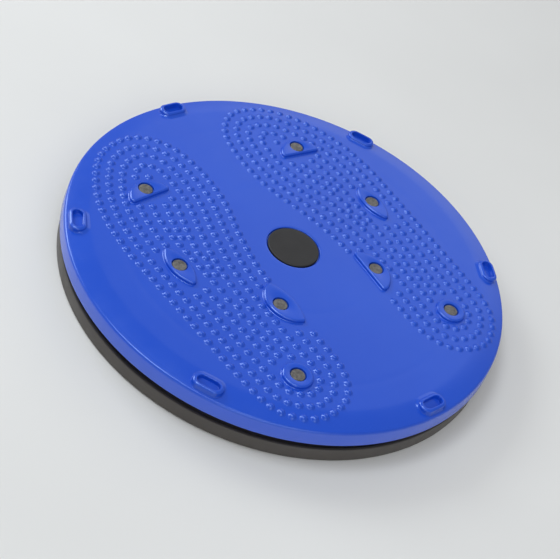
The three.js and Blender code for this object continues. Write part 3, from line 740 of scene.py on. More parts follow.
@dataclass(frozen=True)
class BossSite:
    """One raised magnet seat of the right foot: a lens with rounded tips and a bulge on each side."""

    name: str
    magnet: Pair
    shift: Pair
    length: float
    bulges: Pair
    turn_deg: float
    left_bulges: Pair | None = None
    tip: float = 3.0
    side_points: int = 40
    tip_points: int = 14

    def outline(self, count: int, side: Side = Side.RIGHT) -> np.ndarray:
        """The seat's outline in plan, as on the right foot.

        Each side is an arc of radius (a * a + b * b - t * t) / (2 * (b - t)) for a half reach a, a bulge b
        and a tip radius t, and the tips are arcs of radius t that the sides run into.

        Args:
            count: How many points are wanted.
            side: LEFT for the left foot's own bulges, before they are mirrored.

        Returns:
            Pairs of x and y, counter-clockwise.
        """
        bulges = self.left_bulges if side is Side.LEFT and self.left_bulges else self.bulges
        if self.length / 2 <= max(bulges):
            shape = self.length / 2 * compass(count)
        else:
            reach = self.length / 2 - self.tip
            upper = self._side(reach, bulges[1])
            lower = -self._side(reach, bulges[0])
            left = self._nose(-reach, upper[-1], lower[0], TAU)
            right = self._nose(reach, lower[-1], upper[0], 0.0)
            shape = evenly(np.concatenate([upper, left, lower, right]), count)
        return shape @ spin(math.radians(self.turn_deg))[:2, :2] + np.add(self.magnet, self.shift)

    def _side(self, reach: float, bulge: float) -> np.ndarray:
        """The points of one long side, from its right end to its left.

        Args:
            reach: The distance from the seat's middle to the middle of a tip.
            bulge: How far the side stands out from the long axis.

        Returns:
            Pairs of x and y.
        """
        if bulge <= self.tip:
            return np.array([[reach, self.tip], [-reach, self.tip]])
        radius = (reach**2 + bulge**2 - self.tip**2) / (2 * (bulge - self.tip))
        low = bulge - radius
        start = math.atan2(-low, reach)
        angle = np.linspace(start, math.pi - start, self.side_points)
        return np.stack([radius * np.cos(angle), low + radius * np.sin(angle)], axis=1)

    def _nose(self, x: float, before: np.ndarray, after: np.ndarray, wrap: float) -> np.ndarray:
        """The points of the round at one tip, between two sides.

        Args:
            x: The round's middle on the long axis.
            before: The last point of the side that it follows.
            after: The first point of the side that it leads to.
            wrap: What is added to the end angle so that it lies after the start angle.

        Returns:
            Pairs of x and y.
        """
        start = math.atan2(before[1], before[0] - x)
        end = math.atan2(after[1], after[0] - x) + wrap
        angle = np.linspace(start, end, self.tip_points)[1:-1]
        return np.stack([x + self.tip * np.cos(angle), self.tip * np.sin(angle)], axis=1)


@dataclass(frozen=True)
class DeckPlate:
    """The blue moulding's turned body: plate, margin, skirt, hub, bearing seat and hoop, with its ribs."""

    standing: float = 37.5
    radius: float = 190.0
    skirt_bottom: float = 20.9
    skirt_draft: float = 0.8
    skirt_round: float = 0.7
    skirt_edge: float = 0.4
    wall: float = 2.8
    rim_round: float = 2.4
    rim_sweep_deg: float = 78
    plate: float = 2.8
    crown_start: float = 169.1
    crown_end: float = 186.8
    crown_drop: float = 2.7
    crown_power: float = 1.5
    crown_points: int = 14
    face_points: int = 74
    recess: float = 23.1
    recess_round: float = 0.7
    ledge: float = 35.5
    well: float = 17.6
    hub: float = 25.0
    hub_edge: float = 0.5
    hub_floor: float = 26.2
    hub_under: float = 23.0
    bore: float = 5.4
    seat: RaceSeat = RaceSeat()
    seat_height: float = 26.8
    hoop: float = 145.0
    rib: float = 2.0
    rib_depth: float = 2.5
    rib_root: float = 1.4
    rib_skirt_root: float = 0.6
    rib_hub_root: float = 1.0
    rib_count: int = 6
    sink_depth: float = 0.07
    sink_rings: tuple[Pair, ...] = ((73, 2.6), (145.8, 2.2))
    segments: int = 360

    @property
    def under(self) -> float:
        """The height of the plate's lower face."""
        return self.standing - self.plate

    @property
    def rib_low(self) -> float:
        """The height of the lower edge of the ribs and the hoop."""
        return self.under - self.rib_depth

    @property
    def corner(self) -> float:
        """The height at which the skirt's outer face meets the rim's round."""
        return self.standing - self.crown_drop - self.rim_round

    def height_at(self, radius: np.ndarray) -> np.ndarray:
        """The upper face's height: level, then falling as a power of the share of the margin passed."""
        share = np.clip((radius - self.crown_start) / (self.crown_end - self.crown_start), 0, None)
        return self.standing - self.crown_drop * share**self.crown_power

    def face(self) -> np.ndarray:
        """The upper face's profile, from the rim's round in to the cap's recess.

        The walls and ribs below leave faint rings above: each is a Gaussian dip of a few hundredths of a
        millimetre at its own radius.

        Returns:
            Pairs of radius and height.
        """
        margin = np.linspace(self.crown_end, self.crown_start, self.crown_points)
        level = np.linspace(self.crown_start, self.recess + self.recess_round, self.face_points)
        radii = np.concatenate([margin[1:], level[1:-1]])
        dips = sum(np.exp(-((radii - middle) / width) ** 2) for middle, width in self.sink_rings)
        return np.stack([radii, self.height_at(radii) - self.sink_depth * dips], axis=1)

    def shell(self) -> Piece:
        """The plate, skirt, hub, bearing seat and hoop as one closed profile, turned about the axis.

        Returns:
            The object.
        """
        foot = self.radius - self.wall
        under, rib_low, seat = self.under, self.rib_low, self.seat
        lips = self.seat_height - seat.lip
        hoop_in, hoop_out = self.hoop, self.hoop + self.rib
        mouth, hem = self.recess_round, self.skirt_round
        seat_in, seat_out = seat.pair(chain(
            (-seat.wall, under), (-seat.wall, lips + EDGE), (EDGE - seat.wall, lips), (-EDGE, lips),
            (0, lips + EDGE), (0, self.seat_height), (seat.land, self.seat_height), (seat.land, under),
        ))
        profile = chain(
            arc((self.recess + mouth, self.standing - mouth), mouth, 90, 180, 4),
            (self.recess, self.ledge), (self.well, self.ledge),
            (self.well, self.hub_floor), (self.bore, self.hub_floor), (self.bore, self.hub_under),
            (self.hub - self.hub_edge, self.hub_under), (self.hub, self.hub_under + self.hub_edge),
            (self.hub, under),
            seat_in, seat_out,
            (hoop_in, under), (hoop_in, rib_low + EDGE), (hoop_in + EDGE, rib_low),
            (hoop_out - EDGE, rib_low), (hoop_out, rib_low + EDGE), (hoop_out, under),
            (self.crown_start, under), (foot - self.skirt_draft, self.corner),
            (foot, self.skirt_bottom + self.skirt_edge), (foot + self.skirt_edge, self.skirt_bottom),
            arc((self.radius - hem, self.skirt_bottom + hem), hem, -90, 0, 4),
            arc((self.crown_end, self.corner), self.rim_round, 0, self.rim_sweep_deg, 9),
            self.face(),
        )
        return surface("deck_shell", turned(profile, self.segments), smooth_deg=24, along=True)

    def ribs(self) -> Piece:
        """The radial ribs under the plate, from the hub into the skirt.

        Returns:
            All ribs as one object.
        """
        reach = np.array([self.hub - self.rib_hub_root, self.crown_start, self.radius - self.wall])
        root = self.under + self.rib_root
        upper = np.array([root, root, self.corner + self.rib_skirt_root])
        skin = Skin("deck_ribs")
        for direction in compass(self.rib_count):
            skin.rib(np.column_stack([reach[:, None] * direction, np.full(3, self.rib_low), upper]), self.rib)
        return skin.mesh(smooth_deg=20)


@dataclass(frozen=True)
class NubField:
    """The massage nubs of both feet."""

    plate: DeckPlate
    radius: float = 3.15
    rise: float = 1.9
    shares: tuple[float, ...] = (0.0, 0.3, 0.55, 0.76, 0.92, 1.06, 1.24)
    lifts: tuple[float, ...] = (1.0, 0.94, 0.78, 0.53, 0.26, 0.07, -0.06)
    segments: int = 8
    solid_knee: float = 178.6
    solid_slack: float = 0.02
    field_sides: Pair = (15, 146)
    line_span: Pair = (-150, 150)
    line_pitch: float = 8.8
    spot_span: Pair = (20, 150)
    spot_step: float = 0.5
    reach: float = 17.0
    room: float = 7.2
    seat_gap: float = 1.2
    seat_points: int = 96

    def solid_centres(self) -> np.ndarray:
        """The middles of the deck solid's nubs: the points that stand a nub's rise above its upper face.

        That face is straight between the margin's two ends and a corner between them.

        Returns:
            Pairs of x and y, in millimetres.
        """
        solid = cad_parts["deck"].data
        flat = np.zeros(len(solid.vertices) * 3, np.float32)
        solid.vertices.foreach_get("co", flat)
        points = flat.reshape(-1, 3).astype(float) / MM
        corners = np.array([self.plate.crown_start, self.solid_knee, self.plate.crown_end])
        face = np.interp(np.hypot(points[:, 0], points[:, 1]), corners, self.plate.height_at(corners))
        tips = points[np.abs(points[:, 2] - face - self.rise) < self.solid_slack]
        places = np.unique(np.round(tips[:, :2], 1), axis=0)
        low, high = self.field_sides
        return places[(np.abs(places[:, 0]) > low) & (np.abs(places[:, 0]) < high)]

    def _clear_of(self, site: BossSite, spots: np.ndarray) -> np.ndarray:
        """Whether a nub at each spot would stand clear of a magnet seat.

        The seat's outline is read as a distance from its magnet for each direction.

        Args:
            site: The seat.
            spots: Pairs of x and y.

        Returns:
            True for each spot that is clear.
        """
        rim = site.outline(self.seat_points) - site.magnet
        bearing = np.arctan2(rim[:, 1], rim[:, 0])
        order = np.argsort(bearing)
        away = spots - site.magnet
        limit = np.interp(np.arctan2(away[:, 1], away[:, 0]), bearing[order],
                          np.linalg.norm(rim, axis=1)[order], period=TAU)
        return np.linalg.norm(away, axis=1) > limit + self.radius + self.seat_gap

    def centres(self, sites: tuple[BossSite, ...]) -> np.ndarray:
        """The solid's nubs, and more of them where the middle of a field is bare.

        Along lines across the foot, the place farthest from every nub takes one more if that distance is at
        least the room a nub needs, if nubs stand on all four sides of it, and if it is clear of the magnet
        seats.

        Args:
            sites: The magnet seats.

        Returns:
            The nubs' middles in plan, in millimetres.
        """
        found = self.solid_centres()
        right = found[found[:, 0] > 0]
        added = []
        for y in np.arange(*self.line_span, self.line_pitch):
            x = np.arange(*self.spot_span, self.spot_step)
            spots = np.column_stack([x, np.full(x.shape, y)])
            apart = spots[:, None] - right[None]
            gap = np.linalg.norm(apart, axis=2)
            near = gap < self.reach
            sides = [np.any(near & (apart[..., 0] * sign_x > 0) & (apart[..., 1] * sign_y > 0), axis=1)
                     for sign_x in (1, -1) for sign_y in (1, -1)]
            free = np.all([*sides, *(self._clear_of(site, spots) for site in sites)], axis=0)
            room = np.where(free, gap.min(axis=1), 0)
            best = int(np.argmax(room))
            if room[best] >= self.room:
                added.append(spots[best])
                right = np.concatenate([right, spots[best:best + 1]])
        extra = np.array(added)
        log.info("nubs: %d from the solid, %d added", len(found), 2 * len(extra))
        return np.concatenate([found, extra, extra * [-1, 1]])

    def piece(self, sites: tuple[BossSite, ...]) -> Piece:
        """All nubs: round domes that run out into the plate with a small fillet.

        A dome's height is its rise times a lift, given at shares of its foot's radius.

        Args:
            sites: The magnet seats, which the nubs keep clear of.

        Returns:
            All nubs as one object.
        """
        flat = self.radius * np.array(self.shares)[:, None, None] * compass(self.segments)
        plan = self.centres(sites)[:, None, None, :] + flat
        ground = self.plate.height_at(np.hypot(plan[..., 0], plan[..., 1]))
        height = ground + self.rise * np.array(self.lifts)[:, None]
        skin = Skin("deck_nubs")
        for dome in np.concatenate([plan, height[..., None]], axis=-1):
            skin.grid(dome)
        return skin.mesh(smooth_deg=60)


@dataclass(frozen=True)
class MagnetSeats:
    """The raised seats and the ferrite discs in them.

    Each list of pairs is a run outwards and a height: the flare's heights are above the plate, the mouth's
    from a seat's top.
    """

    plate: DeckPlate
    rise: float = 2.8
    flare: tuple[Pair, ...] = ((0.9, -0.12), (0.5, 0.06), (0.2, 0.25), (0.1, 0.6))
    wall_inset: float = 0.1
    edge: tuple[Triple, ...] = ((90, 34, 0.7), (34, 27, 7.5), (27, 0, 0.8))
    mouth: tuple[Pair, ...] = ((0.35, 0.0), (0.1, -0.1), (0.0, -0.35))
    magnet_radius: float = 5.9
    magnet_sink: float = 0.8
    magnet_thickness: float = 3.0
    magnet_round: float = 0.6
    magnet_segments: int = 48
    hollow: Pair = (0.03, 0.05)
    hollow_share: float = 0.6
    pocket_gap: float = 0.8
    pocket_below: float = 0.3
    pocket_middle: float = 0.02
    points: int = 96
    sites: tuple[BossSite, ...] = (
        BossSite("toe", (83.03, 99.94), (-0.3, -5.5), 39.5, (3.0, 14.2), -5),
        BossSite("side", (106.4, 17.48), (0, -0.7), 41, (9.3, 9.3), 90),
        BossSite("arch", (53.2, -48.26), (-5.7, 0.1), 45, (3.0, 16.1), -94, left_bulges=(8.0, 16.1)),
        BossSite("heel", (85.69, -111.72), (0, 0), 25, (12.5, 12.5), 0),
    )

    @property
    def top(self) -> float:
        """The height of the seats' upper faces."""
        return self.plate.standing + self.rise

    def boss(self, site: BossSite, side: Side) -> Piece:
        """One magnet seat: its outline moved in and up round its edge, with a round pocket for the magnet.

        Args:
            site: The seat on the right foot.
            side: The foot it is wanted for.

        Returns:
            The seat as one object.
        """
        outline = site.outline(self.points, side)
        magnet = np.array(site.magnet) * [side.value, 1]
        if side is Side.LEFT:
            outline = (outline * [-1, 1])[::-1]
        away = outward(outline)
        edge = eased(*self.edge)
        wall = self.top - edge[-1, 1]
        rings = [(outline + run * away, self.plate.standing + lift) for run, lift in self.flare]
        rings += [(outline - (self.wall_inset + run) * away, wall + rise) for run, rise in edge]
        bearing = outline - magnet
        bearing /= np.linalg.norm(bearing, axis=1, keepdims=True)
        pocket = self.magnet_radius + self.pocket_gap
        floor = self.top - self.magnet_sink - self.magnet_thickness - self.pocket_below
        rings += [(magnet + (pocket + run) * bearing, self.top + drop) for run, drop in self.mouth]
        rings += [(magnet + radius * bearing, floor) for radius in (pocket, self.pocket_middle)]
        return surface(f"boss_{side.word}_{site.name}", layered(rings), smooth_deg=40)

    def magnet(self, site: BossSite, side: Side) -> Piece:
        """One ground ferrite disc, turned, with its edge broken and its face a little hollow.

        Args:
            site: The seat on the right foot.
            side: The foot it is wanted for.

        Returns:
            The disc.
        """
        top = self.top - self.magnet_sink
        low = top - self.magnet_thickness
        radius, edge = self.magnet_radius, self.magnet_round
        profile = chain((AXIS, low), (radius - EDGE, low), (radius, low + EDGE),
                        arc((radius - edge, top - edge), edge, 0, 90, 5),
                        (radius * self.hollow_share, top - self.hollow[0]), (AXIS, top - self.hollow[1]))
        centre = (site.magnet[0] * side.value, site.magnet[1])
        rows = turned(profile, self.magnet_segments, centre)
        return surface(f"magnet_disc_{side.word}_{site.name}", rows, smooth_deg=30, along=True)


@dataclass(frozen=True)
class BandLugs:
    """The six lugs near the rim, each with a blind oval pocket.

    The size is that of a lug's wall. Each list of pairs is a run outwards and a height: the flare's heights
    are above the plate, the mouth's from the lug's top and the floor's from the pocket's floor.
    """

    plate: DeckPlate
    count: int = 6
    circle: float = 179.2
    size: Pair = (24.8, 13.8)
    pocket: Pair = (18.6, 8.6)
    rise: float = 2.7
    depth: float = 5.4
    flare: tuple[Pair, ...] = ((0.7, -0.15), (0.49, 0.2), (0.21, 0.7), (0.042, 1.15))
    flare_inwards: float = 4.5
    edge: tuple[Triple, ...] = ((90, 40, 0.7), (40, 14, 3.9), (14, 0, 0.8))
    mouth: tuple[Pair, ...] = ((0.28, -0.04), (0.08, -0.16), (0, -0.4), (-0.05, -1.4))
    floor: tuple[Pair, ...] = ((-0.5, 0.5), (-0.9, 0.1), (-1.4, 0))
    ridge_share: float = 0.5
    straight_sharpness: float = 6
    points: int = 96

    def _stadium(self, size: Pair, grow: float | np.ndarray) -> np.ndarray:
        """A stadium at the lugs' circle, with its long axis along y, moved outwards.

        A point is the half width times the angle's direction, plus the straight part's half length along y
        with a smooth sign, so that every ring of a lug has its points in step.

        Args:
            size: The stadium's length and width.
            grow: How far it is moved outwards, for all points or for each.

        Returns:
            Pairs of x and y.
        """
        length, width = size
        across, along = compass(self.points).T
        shift = (length - width) / 2 * np.clip(along * self.straight_sharpness, -1, 1)
        radius = width / 2 + grow
        return np.stack([self.circle + radius * across, radius * along + shift], axis=1)

    def piece(self, number: int) -> Piece:
        """One lug: a stadium wall with a rounded rim, flared more towards the middle, and a blind pocket.

        Args:
            number: The lug's place, counted round from the toes.

        Returns:
            The lug as one object.
        """
        inwards = np.clip(-compass(self.points)[:, 0], 0, 1)
        top = self.plate.standing + self.rise
        floor = top - self.depth
        edge = eased(*self.edge)
        wall = top - edge[-1, 1]
        rings = []
        for run, lift in self.flare:
            plan = self._stadium(self.size, run * (1 + self.flare_inwards * inwards))
            rings.append((plan, self.plate.height_at(np.hypot(plan[:, 0], plan[:, 1])) + lift))
        rings += [(self._stadium(self.size, -run), wall + rise) for run, rise in edge]
        rings += [(self._stadium(self.pocket, run), top + drop) for run, drop in self.mouth]
        rings += [(self._stadium(self.pocket, run), floor + lift) for run, lift in self.floor]
        middle = rings[-1][0] * [0, self.ridge_share] + [self.circle, 0]
        rows = layered([*rings, (middle, floor)])
        turn = TAU / 4 + number * TAU / self.count
        return surface(f"lug_{number + 1}", rows @ spin(turn), smooth_deg=40)


@dataclass(frozen=True)
class CentreCap:
    """The round cap in the middle of the deck, held by a snap ring in the hub's well."""

    plate: DeckPlate
    rise: float = 0.5
    radius: float = 22.1
    thickness: float = 2.2
    edge: float = 0.9
    face: float = 19.7
    face_points: int = 20
    snap: Pair = (15.1, 17.05)
    snap_depth: float = 4.0
    bead: float = 17.3
    bead_depths: Pair = (2.9, 1.8)
    segments: int = 160

    def piece(self) -> Piece:
        """The cap: a flat disc with a rounded edge, and a beaded snap ring below.

        Returns:
            The cap.
        """
        top = self.plate.standing + self.rise
        under = top - self.thickness
        inner, outer = self.snap
        face = np.linspace(self.face, AXIS, self.face_points)
        profile = chain(
            (AXIS, under), (inner, under), (inner, under - self.snap_depth), (outer, under - self.snap_depth),
            (self.bead, under - self.bead_depths[0]), (outer, under - self.bead_depths[1]), (outer, under),
            (self.radius, under),
            arc((self.radius - self.edge, top - self.edge), self.edge, 0, 90, 6),
            np.stack([face, np.full(face.shape, top)], axis=1),
        )
        return surface("cap_disc", turned(profile, self.segments), smooth_deg=26, along=True)


@dataclass
class Deck:
    """The blue standing plate with its nubs, magnet seats and band lugs, and the cap in its middle."""

    plate: DeckPlate = DeckPlate()

    def make(self) -> None:
        """Builds and dresses everything that turns with the deck."""
        blue, ferrite = BLUE_DECK.build(), FERRITE.build()
        seats, lugs = MagnetSeats(self.plate), BandLugs(self.plate)
        place(self.plate.shell(), Body.DECK, "deck_plastic", blue, "deck")
        place(self.plate.ribs(), Body.DECK, "deck_plastic", blue, "deck")
        place(NubField(self.plate).piece(seats.sites), Body.DECK, "deck_plastic", blue, "deck")
        for site in seats.sites:
            for side in Side:
                place(seats.boss(site, side), Body.DECK, "deck_plastic", blue, "deck")
                node = f"magnet_{side.word}_{site.name}"
                place(seats.magnet(site, side), Body.DECK, "magnet_ferrite", ferrite, node)
        for number in range(lugs.count):
            place(lugs.piece(number), Body.DECK, "deck_plastic", blue, "deck")
        place(CentreCap(self.plate).piece(), Body.DECK, "cap_plastic", CAP_DARK.build(), "centre_cap")


# Base


@dataclass(frozen=True)
class RubberFoot:
    """One rubber foot and the boss that it plugs into."""

    radius: float = 10.0
    edge_round: float = 0.8
    pad_top: float = 2.9
    grips: tuple[float, ...] = (4.2, 6.2, 8.2)
    groove: tuple[Pair, ...] = ((-1.4, 0.0), (-1.0, 0.55), (-0.45, 0.55), (0.0, 0.0))
    plug: float = 3.0
    plug_top: float = 6.9
    plug_lead: Pair = (0.4, 0.5)
    gap: float = 0.3
    boss_wall: float = 2.0
    boss_low: float = 2.0
    boss_round: float = 0.5
    boss_mouth: float = 0.2
    boss_floor: float = 3.2
    plug_hole: float = 3.3
    plug_hole_top: float = 7.2
    segments: int = 56

    def boss(self, name: str, centre: Pair, root: float) -> Piece:
        """The round boss that the foot plugs into, with a rounded mouth.

        Args:
            name: The object's name.
            centre: The foot's middle in plan.
            root: The height at which the boss ends in the base's plate.

        Returns:
            The boss.
        """
        inner = self.radius + self.gap
        outer = inner + self.boss_wall
        knee = self.boss_low + self.boss_round
        profile = chain((outer, root), (outer, knee),
                        arc((outer - self.boss_round, knee), self.boss_round, 0, -90, 3),
                        (inner + self.boss_mouth, self.boss_low), (inner, self.boss_low + self.boss_mouth),
                        (inner, self.boss_floor), (self.plug_hole, self.boss_floor),
                        (self.plug_hole, self.plug_hole_top), (AXIS, self.plug_hole_top), (AXIS, root))
        return surface(name, turned(profile, self.segments, centre), smooth_deg=30, along=True)

    def pad(self, name: str, centre: Pair) -> Piece:
        """The foot: a pad with three grip rings under it and a plug above.

        Args:
            name: The object's name.
            centre: The foot's middle in plan.

        Returns:
            The foot.
        """
        grooves = [(grip + run, rise) for grip in self.grips for run, rise in self.groove]
        rim = self.radius - self.edge_round
        lead_in, lead_down = self.plug_lead
        profile = chain((AXIS, 0.0), *grooves, (rim, 0.0),
                        arc((rim, self.edge_round), self.edge_round, -90, 0, 5),
                        (self.radius, self.pad_top - EDGE), (self.radius - EDGE, self.pad_top),
                        (self.plug, self.pad_top), (self.plug, self.plug_top - lead_down),
                        (self.plug - lead_in, self.plug_top), (AXIS, self.plug_top))
        return surface(name, turned(profile, self.segments, centre), smooth_deg=30, along=True)


@dataclass
class Base:
    """The dark lower disc and its rubber feet."""

    radius: float = 188.2
    foot_rim: float = 188.6
    foot_rim_round: float = 0.6
    bottom: float = 0.8
    top: float = 12.8
    edge: float = 0.9
    wall_draft_deg: float = 2.0
    plate: float = 2.6
    plate_top: float = 10.0
    wall: float = 2.6
    hub: float = 16.2
    hub_edge: float = 0.4
    nut_pocket: float = 11.6
    hub_top: float = 20.9
    nut_seat: float = 12.7
    hub_bottom: float = 2.3
    bore: float = 5.4
    seat: RaceSeat = RaceSeat()
    seat_height: float = 14.8
    rib: float = 2.0
    rib_bottom: float = 2.2
    rib_hub_root: float = 2.3
    rib_count: int = 4
    cross_rib: float = 132.6
    foot: RubberFoot = RubberFoot()
    foot_circle: float = 166.2
    foot_count: int = 6
    longest_step: float = 14.0
    segments: int = 320

    def shell(self) -> Piece:
        """The base as one turned moulding: hub, plate, outer wall, and two ring walls that carry the race.

        Returns:
            The object.
        """
        seat, floor = self.seat, self.plate_top
        under = floor - self.plate
        lips = self.seat_height + seat.lip
        inner, rim_inner = self.radius - self.wall, self.foot_rim - self.wall
        hem = self.foot_rim_round
        seat_in, seat_out = seat.pair(chain(
            (-2 * seat.wall, floor), (-seat.wall, lips), (-EDGE, lips), (0, lips - EDGE),
            (0, self.seat_height), (seat.land, self.seat_height), (seat.land, floor),
        ))
        profile = chain(
            (self.bore, self.hub_top), (self.bore, self.nut_seat), (self.nut_pocket, self.nut_seat),
            (self.nut_pocket, self.hub_bottom + EDGE), (self.nut_pocket + EDGE, self.hub_bottom),
            (self.hub - EDGE, self.hub_bottom), (self.hub, self.hub_bottom + EDGE), (self.hub, under),
            (inner, under), (rim_inner, self.bottom + EDGE), (rim_inner + EDGE, self.bottom),
            arc((self.foot_rim - hem, self.bottom + hem), hem, -90, 0, 3),
            arc((self.radius - self.edge, self.top - self.edge), self.edge, self.wall_draft_deg, 90, 6),
            (inner + EDGE, self.top), (inner, self.top - EDGE), (inner, floor),
            seat_out[::-1], seat_in[::-1],
            (self.hub, floor), (self.hub, self.hub_top - self.hub_edge),
            (self.hub - self.hub_edge, self.hub_top),
        )
        rows = turned(refined(profile, self.longest_step), self.segments)
        return surface("base_shell", rows, smooth_deg=24, along=True)

    def ribs(self) -> Piece:
        """Four spokes from the hub to the wall, and four ribs across them from wall to wall.

        Returns:
            All ribs as one object.
        """
        heights = (self.rib_bottom, self.plate_top - self.plate / 2)
        reach = self.radius - self.wall / 2
        half = math.sqrt(reach**2 - self.cross_rib**2)
        skin = Skin("base_ribs")
        for along in compass(self.rib_count):
            side = np.array([-along[1], along[0]])
            for start, end in ((along * (self.hub - self.rib_hub_root), along * reach),
                               (side * self.cross_rib - along * half, side * self.cross_rib + along * half)):
                skin.rib(np.array([[*start, *heights], [*end, *heights]]), self.rib)
        return skin.mesh(smooth_deg=20)

    def foot_centre(self, number: int) -> Pair:
        """Where a foot stands in plan, counted round from half a step."""
        angle = (number + 0.5) * TAU / self.foot_count
        return self.foot_circle * math.cos(angle), self.foot_circle * math.sin(angle)

    def make(self) -> None:
        """Builds and dresses the base and its feet."""
        dark, rubber = BASE_DARK.build(), FOOT_RUBBER.build()
        place(self.shell(), Body.BASE, "base_plastic", dark, "base_disc")
        place(self.ribs(), Body.BASE, "base_plastic", dark, "base_disc")
        root = self.plate_top - self.plate / 2
        for number in range(self.foot_count):
            centre = self.foot_centre(number)
            boss = self.foot.boss(f"foot_boss_{number + 1}", centre, root)
            place(boss, Body.BASE, "base_plastic", dark, "base_disc")
            pad = self.foot.pad(f"foot_pad_{number + 1}", centre)
            place(pad, Body.BASE, "foot_rubber", rubber, f"foot_{number + 1}")


# Bearing and pivot


@dataclass
class Bearing:
    """The two races, the cage and its balls."""

    pitch: float = 73.0
    ball: float = 4.0
    middle: float = 20.8
    groove: float = 4.3
    groove_depth: float = 1.2
    thickness: float = 2.6
    width: float = 17.0
    edge: float = 0.25
    cage_width: float = 12.6
    cage_thickness: float = 3.2
    cell_points: int = 48
    balls: int = 20
    pole_deg: float = 89.9
    ball_rings: int = 16
    ball_segments: int = 32
    race_segments: int = 240

    def race(self, name: str, side: int) -> Piece:
        """One race: a ring with a round-bottomed groove.

        Args:
            name: The object's name.
            side: 1 for the race below the balls, -1 for the one above.

        Returns:
            The race.
        """
        face = self.groove - self.groove_depth
        half = math.degrees(math.acos(face / self.groove))
        run = arc((self.pitch, 0), self.groove, -90 - half, -90 + half, 16)
        inner, outer = self.pitch - self.width / 2, self.pitch + self.width / 2
        back, edge = -face - self.thickness, self.edge
        profile = chain((inner + edge, back), (inner, back + edge), (inner, -face - edge),
                        (inner + edge, -face), run, (outer - edge, -face), (outer, -face - edge),
                        (outer, back + edge), (outer - edge, back))
        rows = turned(profile * [1, side] + [0, self.middle], self.race_segments)
        return surface(name, rows, smooth_deg=24, along=True)

    def cage(self) -> Piece:
        """The cage: for each ball a cell of the ring, whose outline shrinks to a round pocket.

        A cell is a grid from its outline to the pocket's circle, each point of it moved towards the ball's
        middle, once below and once above, with the pocket's wall between. Two bands close the ring's sides.

        Returns:
            The cage as one object.
        """
        low, high = self.middle - self.cage_thickness / 2, self.middle + self.cage_thickness / 2
        inner, outer = self.pitch - self.cage_width / 2, self.pitch + self.cage_width / 2
        half = math.pi / self.balls
        quarter = self.cell_points // 4
        edge = np.linspace(-half, half, quarter, endpoint=False)
        reach = np.linspace(inner, outer, quarter, endpoint=False)
        ones = np.ones(quarter)
        radius = np.concatenate([outer * ones, outer + inner - reach, inner * ones, reach])
        bearing = np.concatenate([edge, half * ones, -edge, -half * ones])
        cell = np.stack([radius * np.cos(bearing), radius * np.sin(bearing)], axis=1)
        away = cell - [self.pitch, 0]
        pocket = self.groove * away / np.linalg.norm(away, axis=1, keepdims=True) + [self.pitch, 0]
        rows = layered([(cell, low), (pocket, low), (pocket, high), (cell, high)])
        skin = Skin("cage_ring")
        for number in range(self.balls):
            skin.grid(rows @ spin(number * TAU / self.balls))
        ring = np.concatenate([edge + number * TAU / self.balls for number in range(self.balls)])
        circle = np.stack([np.cos(ring), np.sin(ring)], axis=1)
        for wall in (inner, outer):
            skin.grid(layered([(wall * circle, low), (wall * circle, high)]))
        return skin.mesh(smooth_deg=30)

    def ball_piece(self, number: int) -> Piece:
        """One ball, at its place in the cage: height and radius follow the sine and cosine of a latitude.

        Args:
            number: The ball's place, counted round.

        Returns:
            The ball.
        """
        turn = number * TAU / self.balls
        profile = arc((0, self.middle), self.ball, -self.pole_deg, self.pole_deg, self.ball_rings)
        centre = (self.pitch * math.cos(turn), self.pitch * math.sin(turn))
        rows = turned(profile, self.ball_segments, centre)
        return surface(f"steel_ball_{number + 1:02d}", rows, smooth_deg=60, along=True)

    def make(self) -> None:
        """Builds and dresses the bearing."""
        steel, ball_steel = RACE_STEEL.build(), BALL_STEEL.build()
        place(self.race("race_ring_lower", 1), Body.BASE, "race_steel", steel, "lower_race")
        place(self.race("race_ring_upper", -1), Body.DECK, "race_steel", steel, "upper_race")
        place(self.cage(), Body.RING, "cage_plastic", CAGE_NYLON.build(), "ball_cage")
        for number in range(self.balls):
            place(self.ball_piece(number), Body.RING, "ball_steel", ball_steel, f"ball_{number + 1:02d}")


@dataclass(frozen=True)
class Washer:
    """A flat washer: its outer radius, the height of its lower face, and its thickness."""

    radius: float
    bottom: float
    thickness: float
    bore: float = 5.4
    edge: float = 0.2
    segments: int = 96

    def piece(self, name: str) -> Piece:
        """The washer, turned, with broken edges.

        Args:
            name: The object's name.

        Returns:
            The washer.
        """
        bottom, top, edge = self.bottom, self.bottom + self.thickness, self.edge
        profile = chain((self.bore, bottom + edge), (self.bore + edge, bottom), (self.radius - edge, bottom),
                        (self.radius, bottom + edge), (self.radius, top - edge), (self.radius - edge, top),
                        (self.bore + edge, top), (self.bore, top - edge))
        return surface(name, turned(profile, self.segments), smooth_deg=28, along=True)


